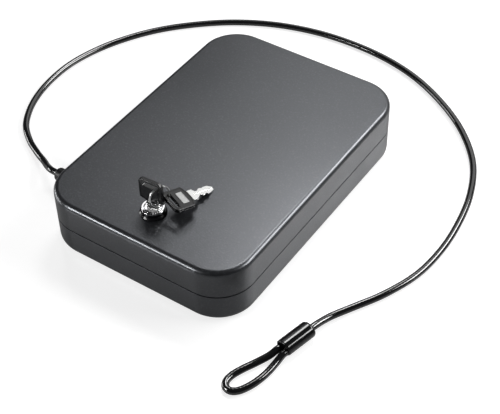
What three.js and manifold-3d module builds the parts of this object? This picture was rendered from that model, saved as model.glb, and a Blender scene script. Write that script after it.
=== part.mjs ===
// Portable car safe with a keyed lid and a tether cable.
// Millimetres. +Z is up, +X is across the box, +Y runs from the lock end to the hinge end.
// The origin is the centre of the underside.

import * as THREE from 'three';
import { mergeVertices } from 'three/addons/utils/BufferGeometryUtils.js';
import Module from 'manifold-3d';

const wasm = await Module();
wasm.setup();

// Case
const caseWidth = 168;
const caseLength = 240;
const caseHeight = 49;
const cornerRadius = 30;
const topEdgeRadius = 4.2;
const bottomEdgeRadius = 7;
const wall = 1.5;
const seamGap = 0.6;
const seamZ = 24.9;
const fitGap = 0.3;
const edgeSteps = 4;
const cornerSteps = 8;

// Foam liners
const foamThickness = 5;
const foamInset = 7.8;
const lockCutoutRadius = 16;
const strikeCutoutMargin = 2;

// Anti-pry rims
const rimThickness = 1.2;
const rimRise = 4;
const rimLap = 6.5;
const rimBackEnd = 22;

// Hinge
const hingeEndMargin = 1;
const knuckleCount = 9;
const knuckleRadius = 2.5;
const knuckleGap = 0.4;
const pinRadius = 1;
const leafThickness = 1.2;
const leafHeight = 12;
const lugWidth = 8;
const lugReach = 6.5;
const lugThickness = 1.5;
const lidOpenAngle = 105;

// Lock
const lockSetback = 29.8;
const lockSideShift = -0.5;
const lockTurnAtRest = 4;
const headRadius = 8.5;
const headHeight = 2.7;
const headEdge = 0.6;
const bezelRadius = 10;
const bezelThickness = 1.7;
const bezelEdge = 0.5;
const barrelRadius = 7.2;
const barrelFlat = 6.3;
const boreRadius = 5.5;
const plugFlangeRadius = 6.2;
const plugFlangeDepth = 2;
const plugFloor = 1.6;
const washerRadius = 9.5;
const washerThickness = 0.8;
const nutAcrossFlats = 19;
const nutThickness = 3.5;
const waferCount = 5;
const waferPitch = 2.6;
const waferThickness = 0.8;
const waferWidth = 8.8;
const waferDepth = 5;
const firstWaferDepth = 4.2;
const tailSize = 6;
const tailLength = 1.9;
const camThickness = 1.5;
const camWidth = 11;
const camReach = 24;
const camScrewRadius = 1.7;
const camScrewDepth = 4;
const camScrewHeadRadius = 4.4;
const camScrewHeadHeight = 2.2;
const camWasherRadius = 5;
const camWasherThickness = 0.8;

// Strike bracket
const strikeWidth = 30;
const strikeThickness = 1.5;
const strikeFoot = 8;
const strikeLipReach = 12;
const strikeClearance = 0.6;

// Keys
const keyHeadWidth = 19;
const keyHeadLength = 19.8;
const keyHeadThickness = 3;
const keyHeadOuterChamfer = 2;
const keyHeadInnerChamfer = [6.5, 2.4];
const keySlotInset = 2.4;
const keySlotWidth = 3.6;
const keySlotLength = 13.4;
const keyShoulderWidth = 9.4;
const keyShoulderLength = 4.8;
const keyBladeWidth = 7;
const keyBladeThickness = 1.8;
const keyBladeLength = 17.2;
const keyTipWidth = 2.4;
const keyTipTaper = 3.5;
// Depth in from each edge, and distance below the shoulder
const keyRightCuts = [[0, 0.9], [1.4, 2.8], [1.4, 4], [0, 6], [0, 6.6], [1.1, 8.3], [1.1, 9.2], [0.2, 10.4], [0.2, 11.4], [0.9, 13.4]];
const keyLeftCuts = [[0, 0.8], [1.3, 1.2], [1.3, 3.6], [0, 5.4], [0, 7.4], [0.6, 8.4], [0, 9.6]];
const keyTang = 7;

// Split ring
const ringRadius = 8.05;
const ringWireRadius = 0.8;
const ringTurn = -19.9;
const ringLean = 5.8;
const ringOffset = [6.2, 0.8];

// Spare key, measured from the lock's centre
const spareOffset = [12.9, 1.8];
const spareTurn = -13.5;
const sparePitch = -16.9;
const spareRoll = 11.9;
const spareTipGap = 0.3;

// Cable and its fittings
const cableRadius = 2.65;
const cableExitSetback = 50.7;
const sleeveRadius = 5.5;
const sleeveFlangeRadius = 7;
const sleeveFlangeThickness = 2;
const sleeveLength = 28.7;
const sleeveNose = 3;
const sleeveNeckRadius = 3.4;
const stopRadius = 4.5;
const stopLength = 12;
const ferruleWidth = 13.2;
const ferruleHeight = 11.5;
const ferruleEdge = 1.4;
const ferruleStart = [129.53, -88.77];
const ferruleEnd = [123.7, -114.2];
const strandSpread = 5.8;
const strandZ = 4.5;
const cableSides = 10;
const tetherSteps = 78;
const eyeSteps = 34;
const ferruleLead = 4;

// Sizes that follow from those above
const outerX = caseWidth / 2;
const outerY = caseLength / 2;
const innerX = outerX - wall;
const innerY = outerY - wall;
const baseTop = seamZ - seamGap / 2;
const lidBottom = seamZ + seamGap / 2;
const lidInnerZ = caseHeight - wall;
const hingeY = outerY;
const hingeLength = caseWidth - 2 * cornerRadius - 2 * hingeEndMargin;
const barrelClearance = knuckleRadius + knuckleGap;
const lockX = lockSideShift;
const lockY = -outerY + lockSetback;
const bezelZ = caseHeight + fitGap;
const headZ = bezelZ + bezelThickness + fitGap;
const lockFaceZ = headZ + headHeight;
const plugRadius = boreRadius - fitGap;
const keyShoulderZ = lockFaceZ + fitGap;
const keywayBottomZ = keyShoulderZ - keyBladeLength - fitGap;
const screwHoleTopZ = keywayBottomZ - plugFloor;
const tailBottomZ = screwHoleTopZ - fitGap - camScrewDepth;
const barrelBottomZ = tailBottomZ + tailLength + fitGap;
const camTopZ = barrelBottomZ - 2 * fitGap;
const camWasherTopZ = Math.min(tailBottomZ, camTopZ - camThickness) - fitGap;
const washerTopZ = lidInnerZ - fitGap;
const nutTopZ = washerTopZ - washerThickness - fitGap;
const strikeOuterY = innerY - fitGap;
const strikeLipZ = camTopZ + strikeClearance;
const strikeTopZ = strikeLipZ + strikeThickness;
const rimTop = baseTop + rimRise;
const rimBottom = baseTop - rimLap;
const cableExitY = -outerY + cableExitSetback;
const cableExitZ = rimBottom - stopRadius - 2 * fitGap;

// Colours and finishes
const finishes = {
  coat: { color: 0x4f5053, roughness: 0.55, metalness: 0.25 },
  steel: { color: 0xa8a9ab, roughness: 0.35, metalness: 1 },
  chrome: { color: 0xd9dadc, roughness: 0.08, metalness: 1 },
  brass: { color: 0xb5924a, roughness: 0.35, metalness: 1 },
  plastic: { color: 0x161617, roughness: 0.4, metalness: 0 },
  rubber: { color: 0x0c0c0d, roughness: 0.6, metalness: 0 },
  cableCoat: { color: 0x0b0b0c, roughness: 0.2, metalness: 0 },
  foam: { color: 0x2b2b2d, roughness: 0.95, metalness: 0 },
};

// Solids
const toSolid = (geometry) => {
  const plain = geometry.index ? geometry.toNonIndexed() : geometry.clone();
  plain.deleteAttribute('normal');
  plain.deleteAttribute('uv');
  const merged = mergeVertices(plain, 1e-4);
  return new wasm.Manifold(
    new wasm.Mesh({
      numProp: 3,
      vertProperties: new Float32Array(merged.attributes.position.array),
      triVerts: new Uint32Array(merged.index.array),
    }),
  );
};

const toGeometry = (solid) => {
  const mesh = solid.getMesh();
  const geometry = new THREE.BufferGeometry();
  geometry.setAttribute('position', new THREE.BufferAttribute(mesh.vertProperties, 3));
  geometry.setIndex(new THREE.BufferAttribute(mesh.triVerts, 1));
  geometry.computeVertexNormals();
  return geometry;
};

const placed = (geometry, x, y, z) => toSolid(geometry.translate(x, y, z));

const boxBetween = (low, high) => {
  const size = high.map((value, axis) => value - low[axis]);
  const centre = high.map((value, axis) => (value + low[axis]) / 2);
  return placed(new THREE.BoxGeometry(...size), ...centre);
};

// A cylinder along Z from zLow to zHigh, centred on x and y
const cylinderZ = (radius, zLow, zHigh, x = 0, y = 0, sides = 32) => {
  const geometry = new THREE.CylinderGeometry(radius, radius, zHigh - zLow, sides);
  return placed(geometry.rotateX(Math.PI / 2), x, y, (zLow + zHigh) / 2);
};

// A cylinder along X from xLow to xHigh, centred on y and z
const cylinderX = (radius, xLow, xHigh, y, z, sides = 16) => {
  const geometry = new THREE.CylinderGeometry(radius, radius, xHigh - xLow, sides);
  return placed(geometry.rotateZ(Math.PI / 2), (xLow + xHigh) / 2, y, z);
};

const named = (name, solid, finish) => {
  const geometry = solid.isBufferGeometry ? solid : toGeometry(solid);
  const mesh = new THREE.Mesh(geometry, new THREE.MeshStandardMaterial(finishes[finish]));
  mesh.name = name;
  return mesh;
};

// Rounded rectangle centred on the origin
const roundedRectangle = (halfX, halfY, radius) => {
  const shape = new THREE.Shape();
  shape.moveTo(halfX, -halfY + radius);
  shape.absarc(halfX - radius, halfY - radius, radius, 0, Math.PI / 2);
  shape.absarc(-halfX + radius, halfY - radius, radius, Math.PI / 2, Math.PI);
  shape.absarc(-halfX + radius, -halfY + radius, radius, Math.PI, 1.5 * Math.PI);
  shape.absarc(halfX - radius, -halfY + radius, radius, 1.5 * Math.PI, 2 * Math.PI);
  return shape;
};

// Upright slab of the case's outline, drawn in from the outside by inset
const outlineSlab = (inset, zLow, zHigh) => {
  const radius = cornerRadius - inset;
  const shape = roundedRectangle(outerX - inset, outerY - inset, radius);
  const slab = { depth: zHigh - zLow, bevelEnabled: false, curveSegments: cornerSteps };
  return placed(new THREE.ExtrudeGeometry(shape, slab), 0, 0, zLow);
};

// The same slab with rolled edges at both ends
const rolledSlab = (inset, zLow, zHigh, roll) => {
  const shrink = inset + roll;
  const shape = roundedRectangle(outerX - shrink, outerY - shrink, cornerRadius - shrink);
  const slab = {
    depth: zHigh - zLow - 2 * roll,
    bevelEnabled: true,
    bevelThickness: roll,
    bevelSize: roll,
    bevelSegments: edgeSteps,
    curveSegments: cornerSteps,
  };
  return placed(new THREE.ExtrudeGeometry(shape, slab), 0, 0, zLow + roll);
};

// A tray open at its flat end: a rolled slab with its inside and its upper half cut away
const tray = (roll, closedZ, openZ) => {
  const up = Math.sign(openZ - closedZ);
  const farZ = closedZ + up * 2 * caseHeight;
  const outside = rolledSlab(0, Math.min(closedZ, farZ), Math.max(closedZ, farZ), roll);
  const insideZ = closedZ + up * wall;
  const inside = rolledSlab(wall, Math.min(insideZ, farZ), Math.max(insideZ, farZ), roll - wall);
  const cutFrom = [-caseWidth, -caseLength, up > 0 ? openZ : openZ - 3 * caseHeight];
  const cutTo = [caseWidth, caseLength, up > 0 ? openZ + 3 * caseHeight : openZ];
  return outside.subtract(inside).subtract(boxBetween(cutFrom, cutTo));
};

const hingeSlot = () => {
  const halfX = hingeLength / 2 + knuckleGap;
  return boxBetween(
    [-halfX, innerY - wall, seamZ - barrelClearance],
    [halfX, outerY + wall, seamZ + barrelClearance],
  );
};

// Base shell, with the cable's hole through its left wall
const makeBaseShell = () => {
  const holeRadius = sleeveNeckRadius + fitGap;
  const hole = cylinderX(holeRadius, -outerX - wall, -innerX + wall, cableExitY, cableExitZ);
  return tray(bottomEdgeRadius, 0, baseTop).subtract(hingeSlot()).subtract(hole);
};

// Lid shell, with the lock's double-D hole
const lockHole = (gap, zLow, zHigh) => {
  const round = cylinderZ(barrelRadius + gap, zLow, zHigh, lockX, lockY);
  const halfFlat = barrelFlat + gap;
  const flats = boxBetween(
    [lockX - 2 * barrelRadius, lockY - halfFlat, zLow],
    [lockX + 2 * barrelRadius, lockY + halfFlat, zHigh],
  );
  return round.intersect(flats);
};

const makeLidShell = () => {
  const hole = lockHole(fitGap, lidInnerZ - wall, caseHeight + wall);
  return tray(topEdgeRadius, caseHeight, lidBottom).subtract(hingeSlot()).subtract(hole);
};

// Foam liners
const makeBaseFoam = () => {
  const foam = outlineSlab(foamInset, wall + fitGap, wall + fitGap + foamThickness);
  const halfX = strikeWidth / 2 + strikeCutoutMargin;
  const cutout = boxBetween(
    [-halfX, -outerY, 0],
    [halfX, -strikeOuterY + strikeThickness + strikeCutoutMargin + strikeLipReach / 2, caseHeight],
  );
  return foam.subtract(cutout);
};

const makeLidFoam = () => {
  const foam = outlineSlab(foamInset, lidInnerZ - fitGap - foamThickness, lidInnerZ - fitGap);
  return foam.subtract(cylinderZ(lockCutoutRadius, 0, 2 * caseHeight, lockX, lockY));
};

// Anti-pry rim along one long side, ending at the strike bracket and short of the hinge
const makeRim = (side) => {
  const inset = wall + fitGap;
  const ring = outlineSlab(inset, rimBottom, rimTop).subtract(
    outlineSlab(inset + rimThickness, rimBottom - wall, rimTop + wall),
  );
  const nearX = strikeWidth / 2 + fitGap;
  const low = [side > 0 ? nearX : -caseWidth, -caseLength, 0];
  const high = [side > 0 ? caseWidth : -nearX, outerY - rimBackEnd, caseHeight];
  return ring.intersect(boxBetween(low, high));
};

// Strike bracket: an upright against the front wall with a lip that the cam turns under
const makeStrike = () => {
  const halfX = strikeWidth / 2;
  const backY = -strikeOuterY + strikeThickness;
  const upright = boxBetween([-halfX, -strikeOuterY, strikeFoot], [halfX, backY, strikeTopZ]);
  const lip = boxBetween([-halfX, -strikeOuterY, strikeLipZ], [halfX, backY + strikeLipReach, strikeTopZ]);
  return upright.add(lip);
};

// Hinge leaves: knuckles turn about the pin on the line where the back walls meet
const knucklePitch = (hingeLength + knuckleGap) / knuckleCount;
const knuckleSpan = (index) => {
  const start = -hingeLength / 2 + index * knucklePitch;
  return [start, start + knucklePitch - knuckleGap];
};

const makeHingeLeaf = (side) => {
  const plateOuterY = innerY - fitGap;
  const plateInnerY = plateOuterY - leafThickness;
  const edgeZ = seamZ + (side * seamGap) / 2;
  const farZ = seamZ + side * (seamGap / 2 + leafHeight);
  const range = (a, b) => [Math.min(a, b), Math.max(a, b)];
  const [plateLow, plateHigh] = range(edgeZ, farZ);
  const halfX = hingeLength / 2;
  let leaf = boxBetween([-halfX, plateInnerY, plateLow], [halfX, plateOuterY, plateHigh]);
  const webNear = seamZ + side * (pinRadius + fitGap);
  const webFar = seamZ + side * knuckleRadius;
  const [webLow, webHigh] = range(webNear, webFar);
  const ownFirst = side < 0 ? 0 : 1;
  for (let index = 0; index < knuckleCount; index += 1) {
    const [start, end] = knuckleSpan(index);
    if (index % 2 === ownFirst) {
      leaf = leaf.add(cylinderX(knuckleRadius, start, end, hingeY, seamZ));
      leaf = leaf.add(boxBetween([start, plateInnerY, webLow], [end, hingeY, webHigh]));
    } else {
      const from = start - knuckleGap;
      const to = end + knuckleGap;
      leaf = leaf.subtract(cylinderX(barrelClearance, from, to, hingeY, seamZ));
    }
  }
  if (side > 0) {
    for (const index of [1, knuckleCount - 2]) {
      leaf = leaf.add(stopLug(index));
    }
  }
  return leaf.subtract(cylinderX(pinRadius + fitGap, -hingeLength, hingeLength, hingeY, seamZ));
};

// Stop lug on a lid knuckle: its flat side meets the base's back wall when the lid is fully open
const stopLug = (index) => {
  const [start, end] = knuckleSpan(index);
  const middle = (start + end) / 2;
  const length = lugReach - pinRadius;
  const geometry = new THREE.BoxGeometry(Math.min(lugWidth, end - start), length, lugThickness);
  geometry.translate(0, pinRadius + length / 2, lugThickness / 2 + fitGap);
  geometry.rotateX(THREE.MathUtils.degToRad(lidOpenAngle - 90));
  return placed(geometry, middle, hingeY, seamZ);
};

const makeHingePin = () => {
  const halfX = hingeLength / 2;
  return cylinderX(pinRadius, -halfX, halfX, hingeY, seamZ);
};

// Strain relief, turned about the cable's line where it leaves the left wall
const makeSleeve = () => {
  const noseStart = sleeveLength - sleeveNose;
  const profile = [new THREE.Vector2(0, -wall - 2 * fitGap)];
  profile.push(new THREE.Vector2(sleeveNeckRadius, -wall - 2 * fitGap));
  profile.push(new THREE.Vector2(sleeveNeckRadius, fitGap));
  profile.push(new THREE.Vector2(sleeveFlangeRadius, fitGap));
  profile.push(new THREE.Vector2(sleeveFlangeRadius, fitGap + sleeveFlangeThickness));
  profile.push(new THREE.Vector2(sleeveRadius, 2 * fitGap + 2 * sleeveFlangeThickness));
  for (let step = 0; step <= edgeSteps; step += 1) {
    const turn = (step / edgeSteps) * (Math.PI / 2);
    const radius = sleeveRadius - sleeveNose * (1 - Math.cos(turn));
    profile.push(new THREE.Vector2(radius, noseStart + sleeveNose * Math.sin(turn)));
  }
  profile.push(new THREE.Vector2(0, sleeveLength));
  const geometry = new THREE.LatheGeometry(profile, 24).rotateZ(Math.PI / 2);
  return placed(geometry, -outerX, cableExitY, cableExitZ);
};

const makeCableStop = () => {
  const start = -innerX + 3 * fitGap;
  return cylinderX(stopRadius, start, start + stopLength, cableExitY, cableExitZ, 24);
};

// Lock housing: plated head, threaded barrel with two flats, bore and flange seat
const makeLockHousing = () => {
  const head = new THREE.LatheGeometry(
    [
      new THREE.Vector2(0, headZ),
      new THREE.Vector2(headRadius, headZ),
      new THREE.Vector2(headRadius, lockFaceZ - headEdge),
      new THREE.Vector2(headRadius - headEdge, lockFaceZ),
      new THREE.Vector2(0, lockFaceZ),
    ],
    32,
  ).rotateX(Math.PI / 2);
  const body = placed(head, lockX, lockY, 0).add(lockHole(0, barrelBottomZ, headZ + fitGap));
  const bore = cylinderZ(boreRadius, barrelBottomZ - wall, lockFaceZ + wall, lockX, lockY);
  const seatZ = lockFaceZ - plugFlangeDepth - fitGap;
  const seat = cylinderZ(plugFlangeRadius + fitGap, seatZ, lockFaceZ + wall, lockX, lockY);
  return body.subtract(bore).subtract(seat);
};

const makeBezel = () => {
  const inner = barrelRadius + fitGap;
  const top = bezelZ + bezelThickness;
  const geometry = new THREE.LatheGeometry(
    [
      new THREE.Vector2(inner, bezelZ),
      new THREE.Vector2(bezelRadius, bezelZ),
      new THREE.Vector2(bezelRadius, top - bezelEdge),
      new THREE.Vector2(bezelRadius - bezelEdge, top),
      new THREE.Vector2(inner, top),
      new THREE.Vector2(inner, bezelZ),
    ],
    32,
  ).rotateX(Math.PI / 2);
  return placed(geometry, lockX, lockY, 0);
};

const makeWasher = () => {
  const disc = cylinderZ(washerRadius, washerTopZ - washerThickness, washerTopZ, lockX, lockY);
  return disc.subtract(lockHole(fitGap, 0, 2 * caseHeight));
};

const makeNut = () => {
  const cornerReach = nutAcrossFlats / Math.sqrt(3);
  const hexagon = cylinderZ(cornerReach, nutTopZ - nutThickness, nutTopZ, lockX, lockY, 6);
  return hexagon.subtract(cylinderZ(barrelRadius + fitGap, 0, 2 * caseHeight, lockX, lockY));
};

// The plug and what turns with it are made about the lock's own axis at x = 0, y = 0
const waferZ = (index) => lockFaceZ - firstWaferDepth - index * waferPitch;

const keywayBox = (gap, zLow, zHigh) => {
  const halfX = keyBladeWidth / 2 + gap;
  const halfY = keyBladeThickness / 2 + gap;
  return boxBetween([-halfX, -halfY, zLow], [halfX, halfY, zHigh]);
};

const squareTail = (gap, zLow, zHigh) => {
  const half = tailSize / 2 + gap;
  return boxBetween([-half, -half, zLow], [half, half, zHigh]);
};

const makePlug = () => {
  const flangeZ = lockFaceZ - plugFlangeDepth;
  let plug = cylinderZ(plugRadius, barrelBottomZ - fitGap, lockFaceZ - fitGap);
  plug = plug.add(cylinderZ(plugFlangeRadius, flangeZ, lockFaceZ - fitGap));
  plug = plug.add(squareTail(0, tailBottomZ, barrelBottomZ));
  plug = plug.subtract(keywayBox(fitGap, keywayBottomZ, caseHeight * 2));
  for (let index = 0; index < waferCount; index += 1) {
    const top = waferZ(index) + fitGap;
    const bottom = waferZ(index) - waferThickness - fitGap;
    const halfY = waferDepth / 2 + fitGap;
    plug = plug.subtract(boxBetween([-2 * plugRadius, -halfY, bottom], [2 * plugRadius, halfY, top]));
  }
  return plug.subtract(cylinderZ(camScrewRadius + fitGap, tailBottomZ - wall, screwHoleTopZ, 0, 0, 16));
};

const makeWafer = (index) => {
  const top = waferZ(index);
  const bottom = top - waferThickness;
  const halfX = waferWidth / 2;
  const halfY = waferDepth / 2;
  const plate = boxBetween([-halfX, -halfY, bottom], [halfX, halfY, top]);
  return plate.subtract(keywayBox(fitGap, bottom - wall, top + wall));
};

const makeCam = () => {
  const bottom = camTopZ - camThickness;
  const half = camWidth / 2;
  const arm = boxBetween([0, -half, bottom], [camReach - half, half, camTopZ]);
  const cam = arm
    .add(cylinderZ(half, bottom, camTopZ))
    .add(cylinderZ(half, bottom, camTopZ, camReach - half));
  return cam.subtract(squareTail(fitGap, bottom - wall, camTopZ + wall));
};

const makeCamWasher = () => {
  const disc = cylinderZ(camWasherRadius, camWasherTopZ - camWasherThickness, camWasherTopZ);
  return disc.subtract(cylinderZ(camScrewRadius + fitGap, 0, caseHeight, 0, 0, 16));
};

const makeCamScrew = () => {
  const headTop = camWasherTopZ - camWasherThickness - fitGap;
  const head = cylinderZ(camScrewHeadRadius, headTop - camScrewHeadHeight, headTop);
  return head.add(cylinderZ(camScrewRadius, headTop - fitGap, screwHoleTopZ - fitGap, 0, 0, 16));
};

// Keys: blade down, shoulder at z = 0, head above it, width along X
const makeKeyHead = () => {
  const half = keyHeadWidth / 2;
  const low = keyShoulderLength;
  const high = keyShoulderLength + keyHeadLength;
  const [innerAcross, innerAlong] = keyHeadInnerChamfer;
  const shape = new THREE.Shape([
    new THREE.Vector2(-half + innerAcross, low),
    new THREE.Vector2(half - innerAcross, low),
    new THREE.Vector2(half, low + innerAlong),
    new THREE.Vector2(half, high - keyHeadOuterChamfer),
    new THREE.Vector2(half - keyHeadOuterChamfer, high),
    new THREE.Vector2(-half + keyHeadOuterChamfer, high),
    new THREE.Vector2(-half, high - keyHeadOuterChamfer),
    new THREE.Vector2(-half, low + innerAlong),
  ]);
  const slotTop = high - keySlotInset;
  const slotBottom = slotTop - keySlotWidth;
  const slotHalf = keySlotLength / 2;
  const slot = new THREE.Path([
    new THREE.Vector2(-slotHalf, slotBottom),
    new THREE.Vector2(-slotHalf, slotTop),
    new THREE.Vector2(slotHalf, slotTop),
    new THREE.Vector2(slotHalf, slotBottom),
  ]);
  shape.holes.push(slot);
  const plate = new THREE.ExtrudeGeometry(shape, { depth: keyHeadThickness, bevelEnabled: false });
  const head = toSolid(plate.translate(0, 0, -keyHeadThickness / 2).rotateX(Math.PI / 2));
  return head.subtract(tangBox(fitGap));
};

const tangBox = (gap) => {
  const halfX = keyBladeWidth / 2 + gap;
  const halfY = keyBladeThickness / 2 + gap;
  const low = keyShoulderLength - keyTang;
  return boxBetween([-halfX, -halfY, low], [halfX, halfY, keyShoulderLength + keyTang + gap]);
};

// Blade with its shoulder and the cuts along both edges
const makeKeyBlade = () => {
  const half = keyBladeWidth / 2;
  const shoulder = keyShoulderWidth / 2;
  const seat = keyShoulderLength - fitGap;
  const tangTop = keyShoulderLength + keyTang;
  const edge = (cuts, side) =>
    cuts.map(([depth, below]) => new THREE.Vector2(side * (half - depth), -below));
  const points = [
    new THREE.Vector2(-shoulder, 0),
    new THREE.Vector2(-shoulder, seat),
    new THREE.Vector2(-half, seat),
    new THREE.Vector2(-half, tangTop),
    new THREE.Vector2(half, tangTop),
    new THREE.Vector2(half, seat),
    new THREE.Vector2(shoulder, seat),
    new THREE.Vector2(shoulder, 0),
    new THREE.Vector2(half, 0),
    ...edge(keyRightCuts, 1),
    new THREE.Vector2(keyTipWidth / 2, -keyBladeLength),
    new THREE.Vector2(-keyTipWidth / 2, -keyBladeLength),
    new THREE.Vector2(-half, -keyBladeLength + keyTipTaper),
    ...edge(keyLeftCuts, -1).reverse(),
    new THREE.Vector2(-half, 0),
  ];
  const plate = new THREE.ExtrudeGeometry(new THREE.Shape(points), {
    depth: keyBladeThickness,
    bevelEnabled: false,
  });
  return toSolid(plate.translate(0, 0, -keyBladeThickness / 2).rotateX(Math.PI / 2));
};

// A tube of the cable's diameter along a smooth curve through the points
const cableTube = (points, steps) => {
  const curve = new THREE.CatmullRomCurve3(
    points.map((point) => new THREE.Vector3(...point)),
    false,
    'centripetal',
  );
  const section = new THREE.Shape();
  for (let side = 0; side < cableSides; side += 1) {
    const turn = (side / cableSides) * 2 * Math.PI;
    const point = [cableRadius * Math.cos(turn), cableRadius * Math.sin(turn)];
    if (side === 0) section.moveTo(...point);
    else section.lineTo(...point);
  }
  return toSolid(new THREE.ExtrudeGeometry(section, { steps, extrudePath: curve }));
};

// The cable's run along the floor, from the strain relief round behind the box to the ferrule
const floorZ = cableRadius;
const cableRoute = [
  [-outerX - sleeveLength - fitGap, cableExitY, cableExitZ],
  [-outerX - sleeveLength - 2 * cableRadius, cableExitY, cableExitZ],
  [-126.5, -65.1, 9.6],
  [-136, -59.3, 6.3],
  [-145, -54.8, 4.2],
  [-154, -50.1, 3],
  [-163.3, -45, floorZ],
  [-179, -32.5, floorZ],
  [-190.2, -15.5, floorZ],
  [-197.7, 4.4, floorZ],
  [-201.5, 27, floorZ],
  [-201.5, 50, floorZ],
  [-196.5, 74, floorZ],
  [-186.5, 99.5, floorZ],
  [-169.2, 128, floorZ],
  [-147, 152.5, floorZ],
  [-118, 175.8, floorZ],
  [-84.5, 193.2, floorZ],
  [-47, 203.6, floorZ],
  [-11.6, 206.4, floorZ],
  [25, 203.3, floorZ],
  [58, 194, floorZ],
  [90.5, 177.4, floorZ],
  [120.5, 155, floorZ],
  [145.5, 125.6, floorZ],
  [160.2, 92, floorZ],
  [167.2, 58, floorZ],
  [169.1, 27, floorZ],
  [165.8, -3, floorZ],
  [155.3, -32.3, floorZ],
  [142.6, -55.5, floorZ],
  [134.3, -71.5, 3.2],
];

const ferruleRun = new THREE.Vector2(
  ferruleEnd[0] - ferruleStart[0],
  ferruleEnd[1] - ferruleStart[1],
).normalize();

const makeTether = () => {
  const entry = [
    ferruleStart[0] - ferruleRun.x * fitGap,
    ferruleStart[1] - ferruleRun.y * fitGap,
    strandZ,
  ];
  const before = [
    entry[0] - ferruleRun.x * ferruleLead,
    entry[1] - ferruleRun.y * ferruleLead,
    strandZ,
  ];
  return cableTube([...cableRoute, before, entry], tetherSteps);
};

// Oval ferrule with rounded ends, lying on the floor
const makeFerrule = () => {
  const shape = new THREE.Shape();
  shape.absellipse(0, 0, ferruleWidth / 2 - ferruleEdge, ferruleHeight / 2 - ferruleEdge, 0, 2 * Math.PI);
  const length = Math.hypot(ferruleEnd[0] - ferruleStart[0], ferruleEnd[1] - ferruleStart[1]);
  const geometry = new THREE.ExtrudeGeometry(shape, {
    depth: length - 2 * ferruleEdge,
    bevelEnabled: true,
    bevelThickness: ferruleEdge,
    bevelSize: ferruleEdge,
    bevelSegments: 3,
    curveSegments: 20,
  });
  geometry.translate(0, 0, ferruleEdge);
  geometry.rotateX(Math.PI / 2);
  geometry.rotateZ(Math.atan2(ferruleRun.y, ferruleRun.x) + Math.PI / 2);
  return placed(geometry, ferruleStart[0], ferruleStart[1], ferruleHeight / 2);
};

// The eye: one strand out of the ferrule, round and back in beside itself
const eyeRoute = [
  [118.4, -122.2, 3.4],
  [113.6, -132.5, floorZ],
  [109.3, -141.5, floorZ],
  [106.2, -150, floorZ],
  [105.9, -156.4, floorZ],
  [108.6, -160.5, floorZ],
  [112.9, -161.1, floorZ],
  [116.8, -158.4, floorZ],
  [120.3, -152.6, floorZ],
  [123.1, -144.6, floorZ],
  [124.8, -135, floorZ],
  [125.5, -124.2, 3.4],
];

const makeEye = () => {
  const across = [-ferruleRun.y, ferruleRun.x];
  const strand = (side, away) => [
    ferruleEnd[0] + ferruleRun.x * away + (side * across[0] * strandSpread) / 2,
    ferruleEnd[1] + ferruleRun.y * away + (side * across[1] * strandSpread) / 2,
    strandZ,
  ];
  const straight = fitGap + cableRadius;
  return cableTube(
    [strand(-1, fitGap), strand(-1, straight), ...eyeRoute, strand(1, straight), strand(1, fitGap)],
    eyeSteps,
  );
};

// Assembly
const safe = new THREE.Group();

const base = new THREE.Group();
base.add(named('base_shell', makeBaseShell(), 'coat'));
base.add(named('base_foam', makeBaseFoam(), 'foam'));
base.add(named('anti_pry_rim_left', makeRim(-1), 'coat'));
base.add(named('anti_pry_rim_right', makeRim(1), 'coat'));
base.add(named('strike_bracket', makeStrike(), 'steel'));
base.add(named('hinge_leaf_base', makeHingeLeaf(-1), 'coat'));
base.add(named('hinge_pin', makeHingePin(), 'steel'));
base.add(named('cable_sleeve', makeSleeve(), 'rubber'));
base.add(named('cable_stop', makeCableStop(), 'steel'));
base.add(named('tether_cable', makeTether(), 'cableCoat'));
base.add(named('cable_ferrule', makeFerrule(), 'plastic'));
base.add(named('cable_eye', makeEye(), 'cableCoat'));
safe.add(base);

const lid = new THREE.Group();
lid.add(named('lid_shell', makeLidShell(), 'coat'));
lid.add(named('lid_foam', makeLidFoam(), 'foam'));
lid.add(named('hinge_leaf_lid', makeHingeLeaf(1), 'coat'));
lid.add(named('lock_housing', makeLockHousing(), 'chrome'));
lid.add(named('lock_bezel', makeBezel(), 'plastic'));
lid.add(named('lock_washer', makeWasher(), 'steel'));
lid.add(named('lock_nut', makeNut(), 'steel'));
safe.add(lid);

const lockTurn = new THREE.Group();
lockTurn.position.set(lockX, lockY, 0);
lockTurn.rotation.z = THREE.MathUtils.degToRad(lockTurnAtRest);
lockTurn.add(named('lock_plug', makePlug(), 'chrome'));
for (let index = 0; index < waferCount; index += 1) {
  lockTurn.add(named(`lock_wafer_${index + 1}`, makeWafer(index), 'brass'));
}
lockTurn.add(named('lock_cam', makeCam(), 'steel'));
lockTurn.add(named('cam_washer', makeCamWasher(), 'steel'));
lockTurn.add(named('cam_screw', makeCamScrew(), 'steel'));
safe.add(lockTurn);

const keyInLock = new THREE.Group();
keyInLock.position.z = keyShoulderZ;
keyInLock.add(named('key_blade', makeKeyBlade(), 'steel'));
keyInLock.add(named('key_head', makeKeyHead(), 'plastic'));
lockTurn.add(keyInLock);

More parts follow.
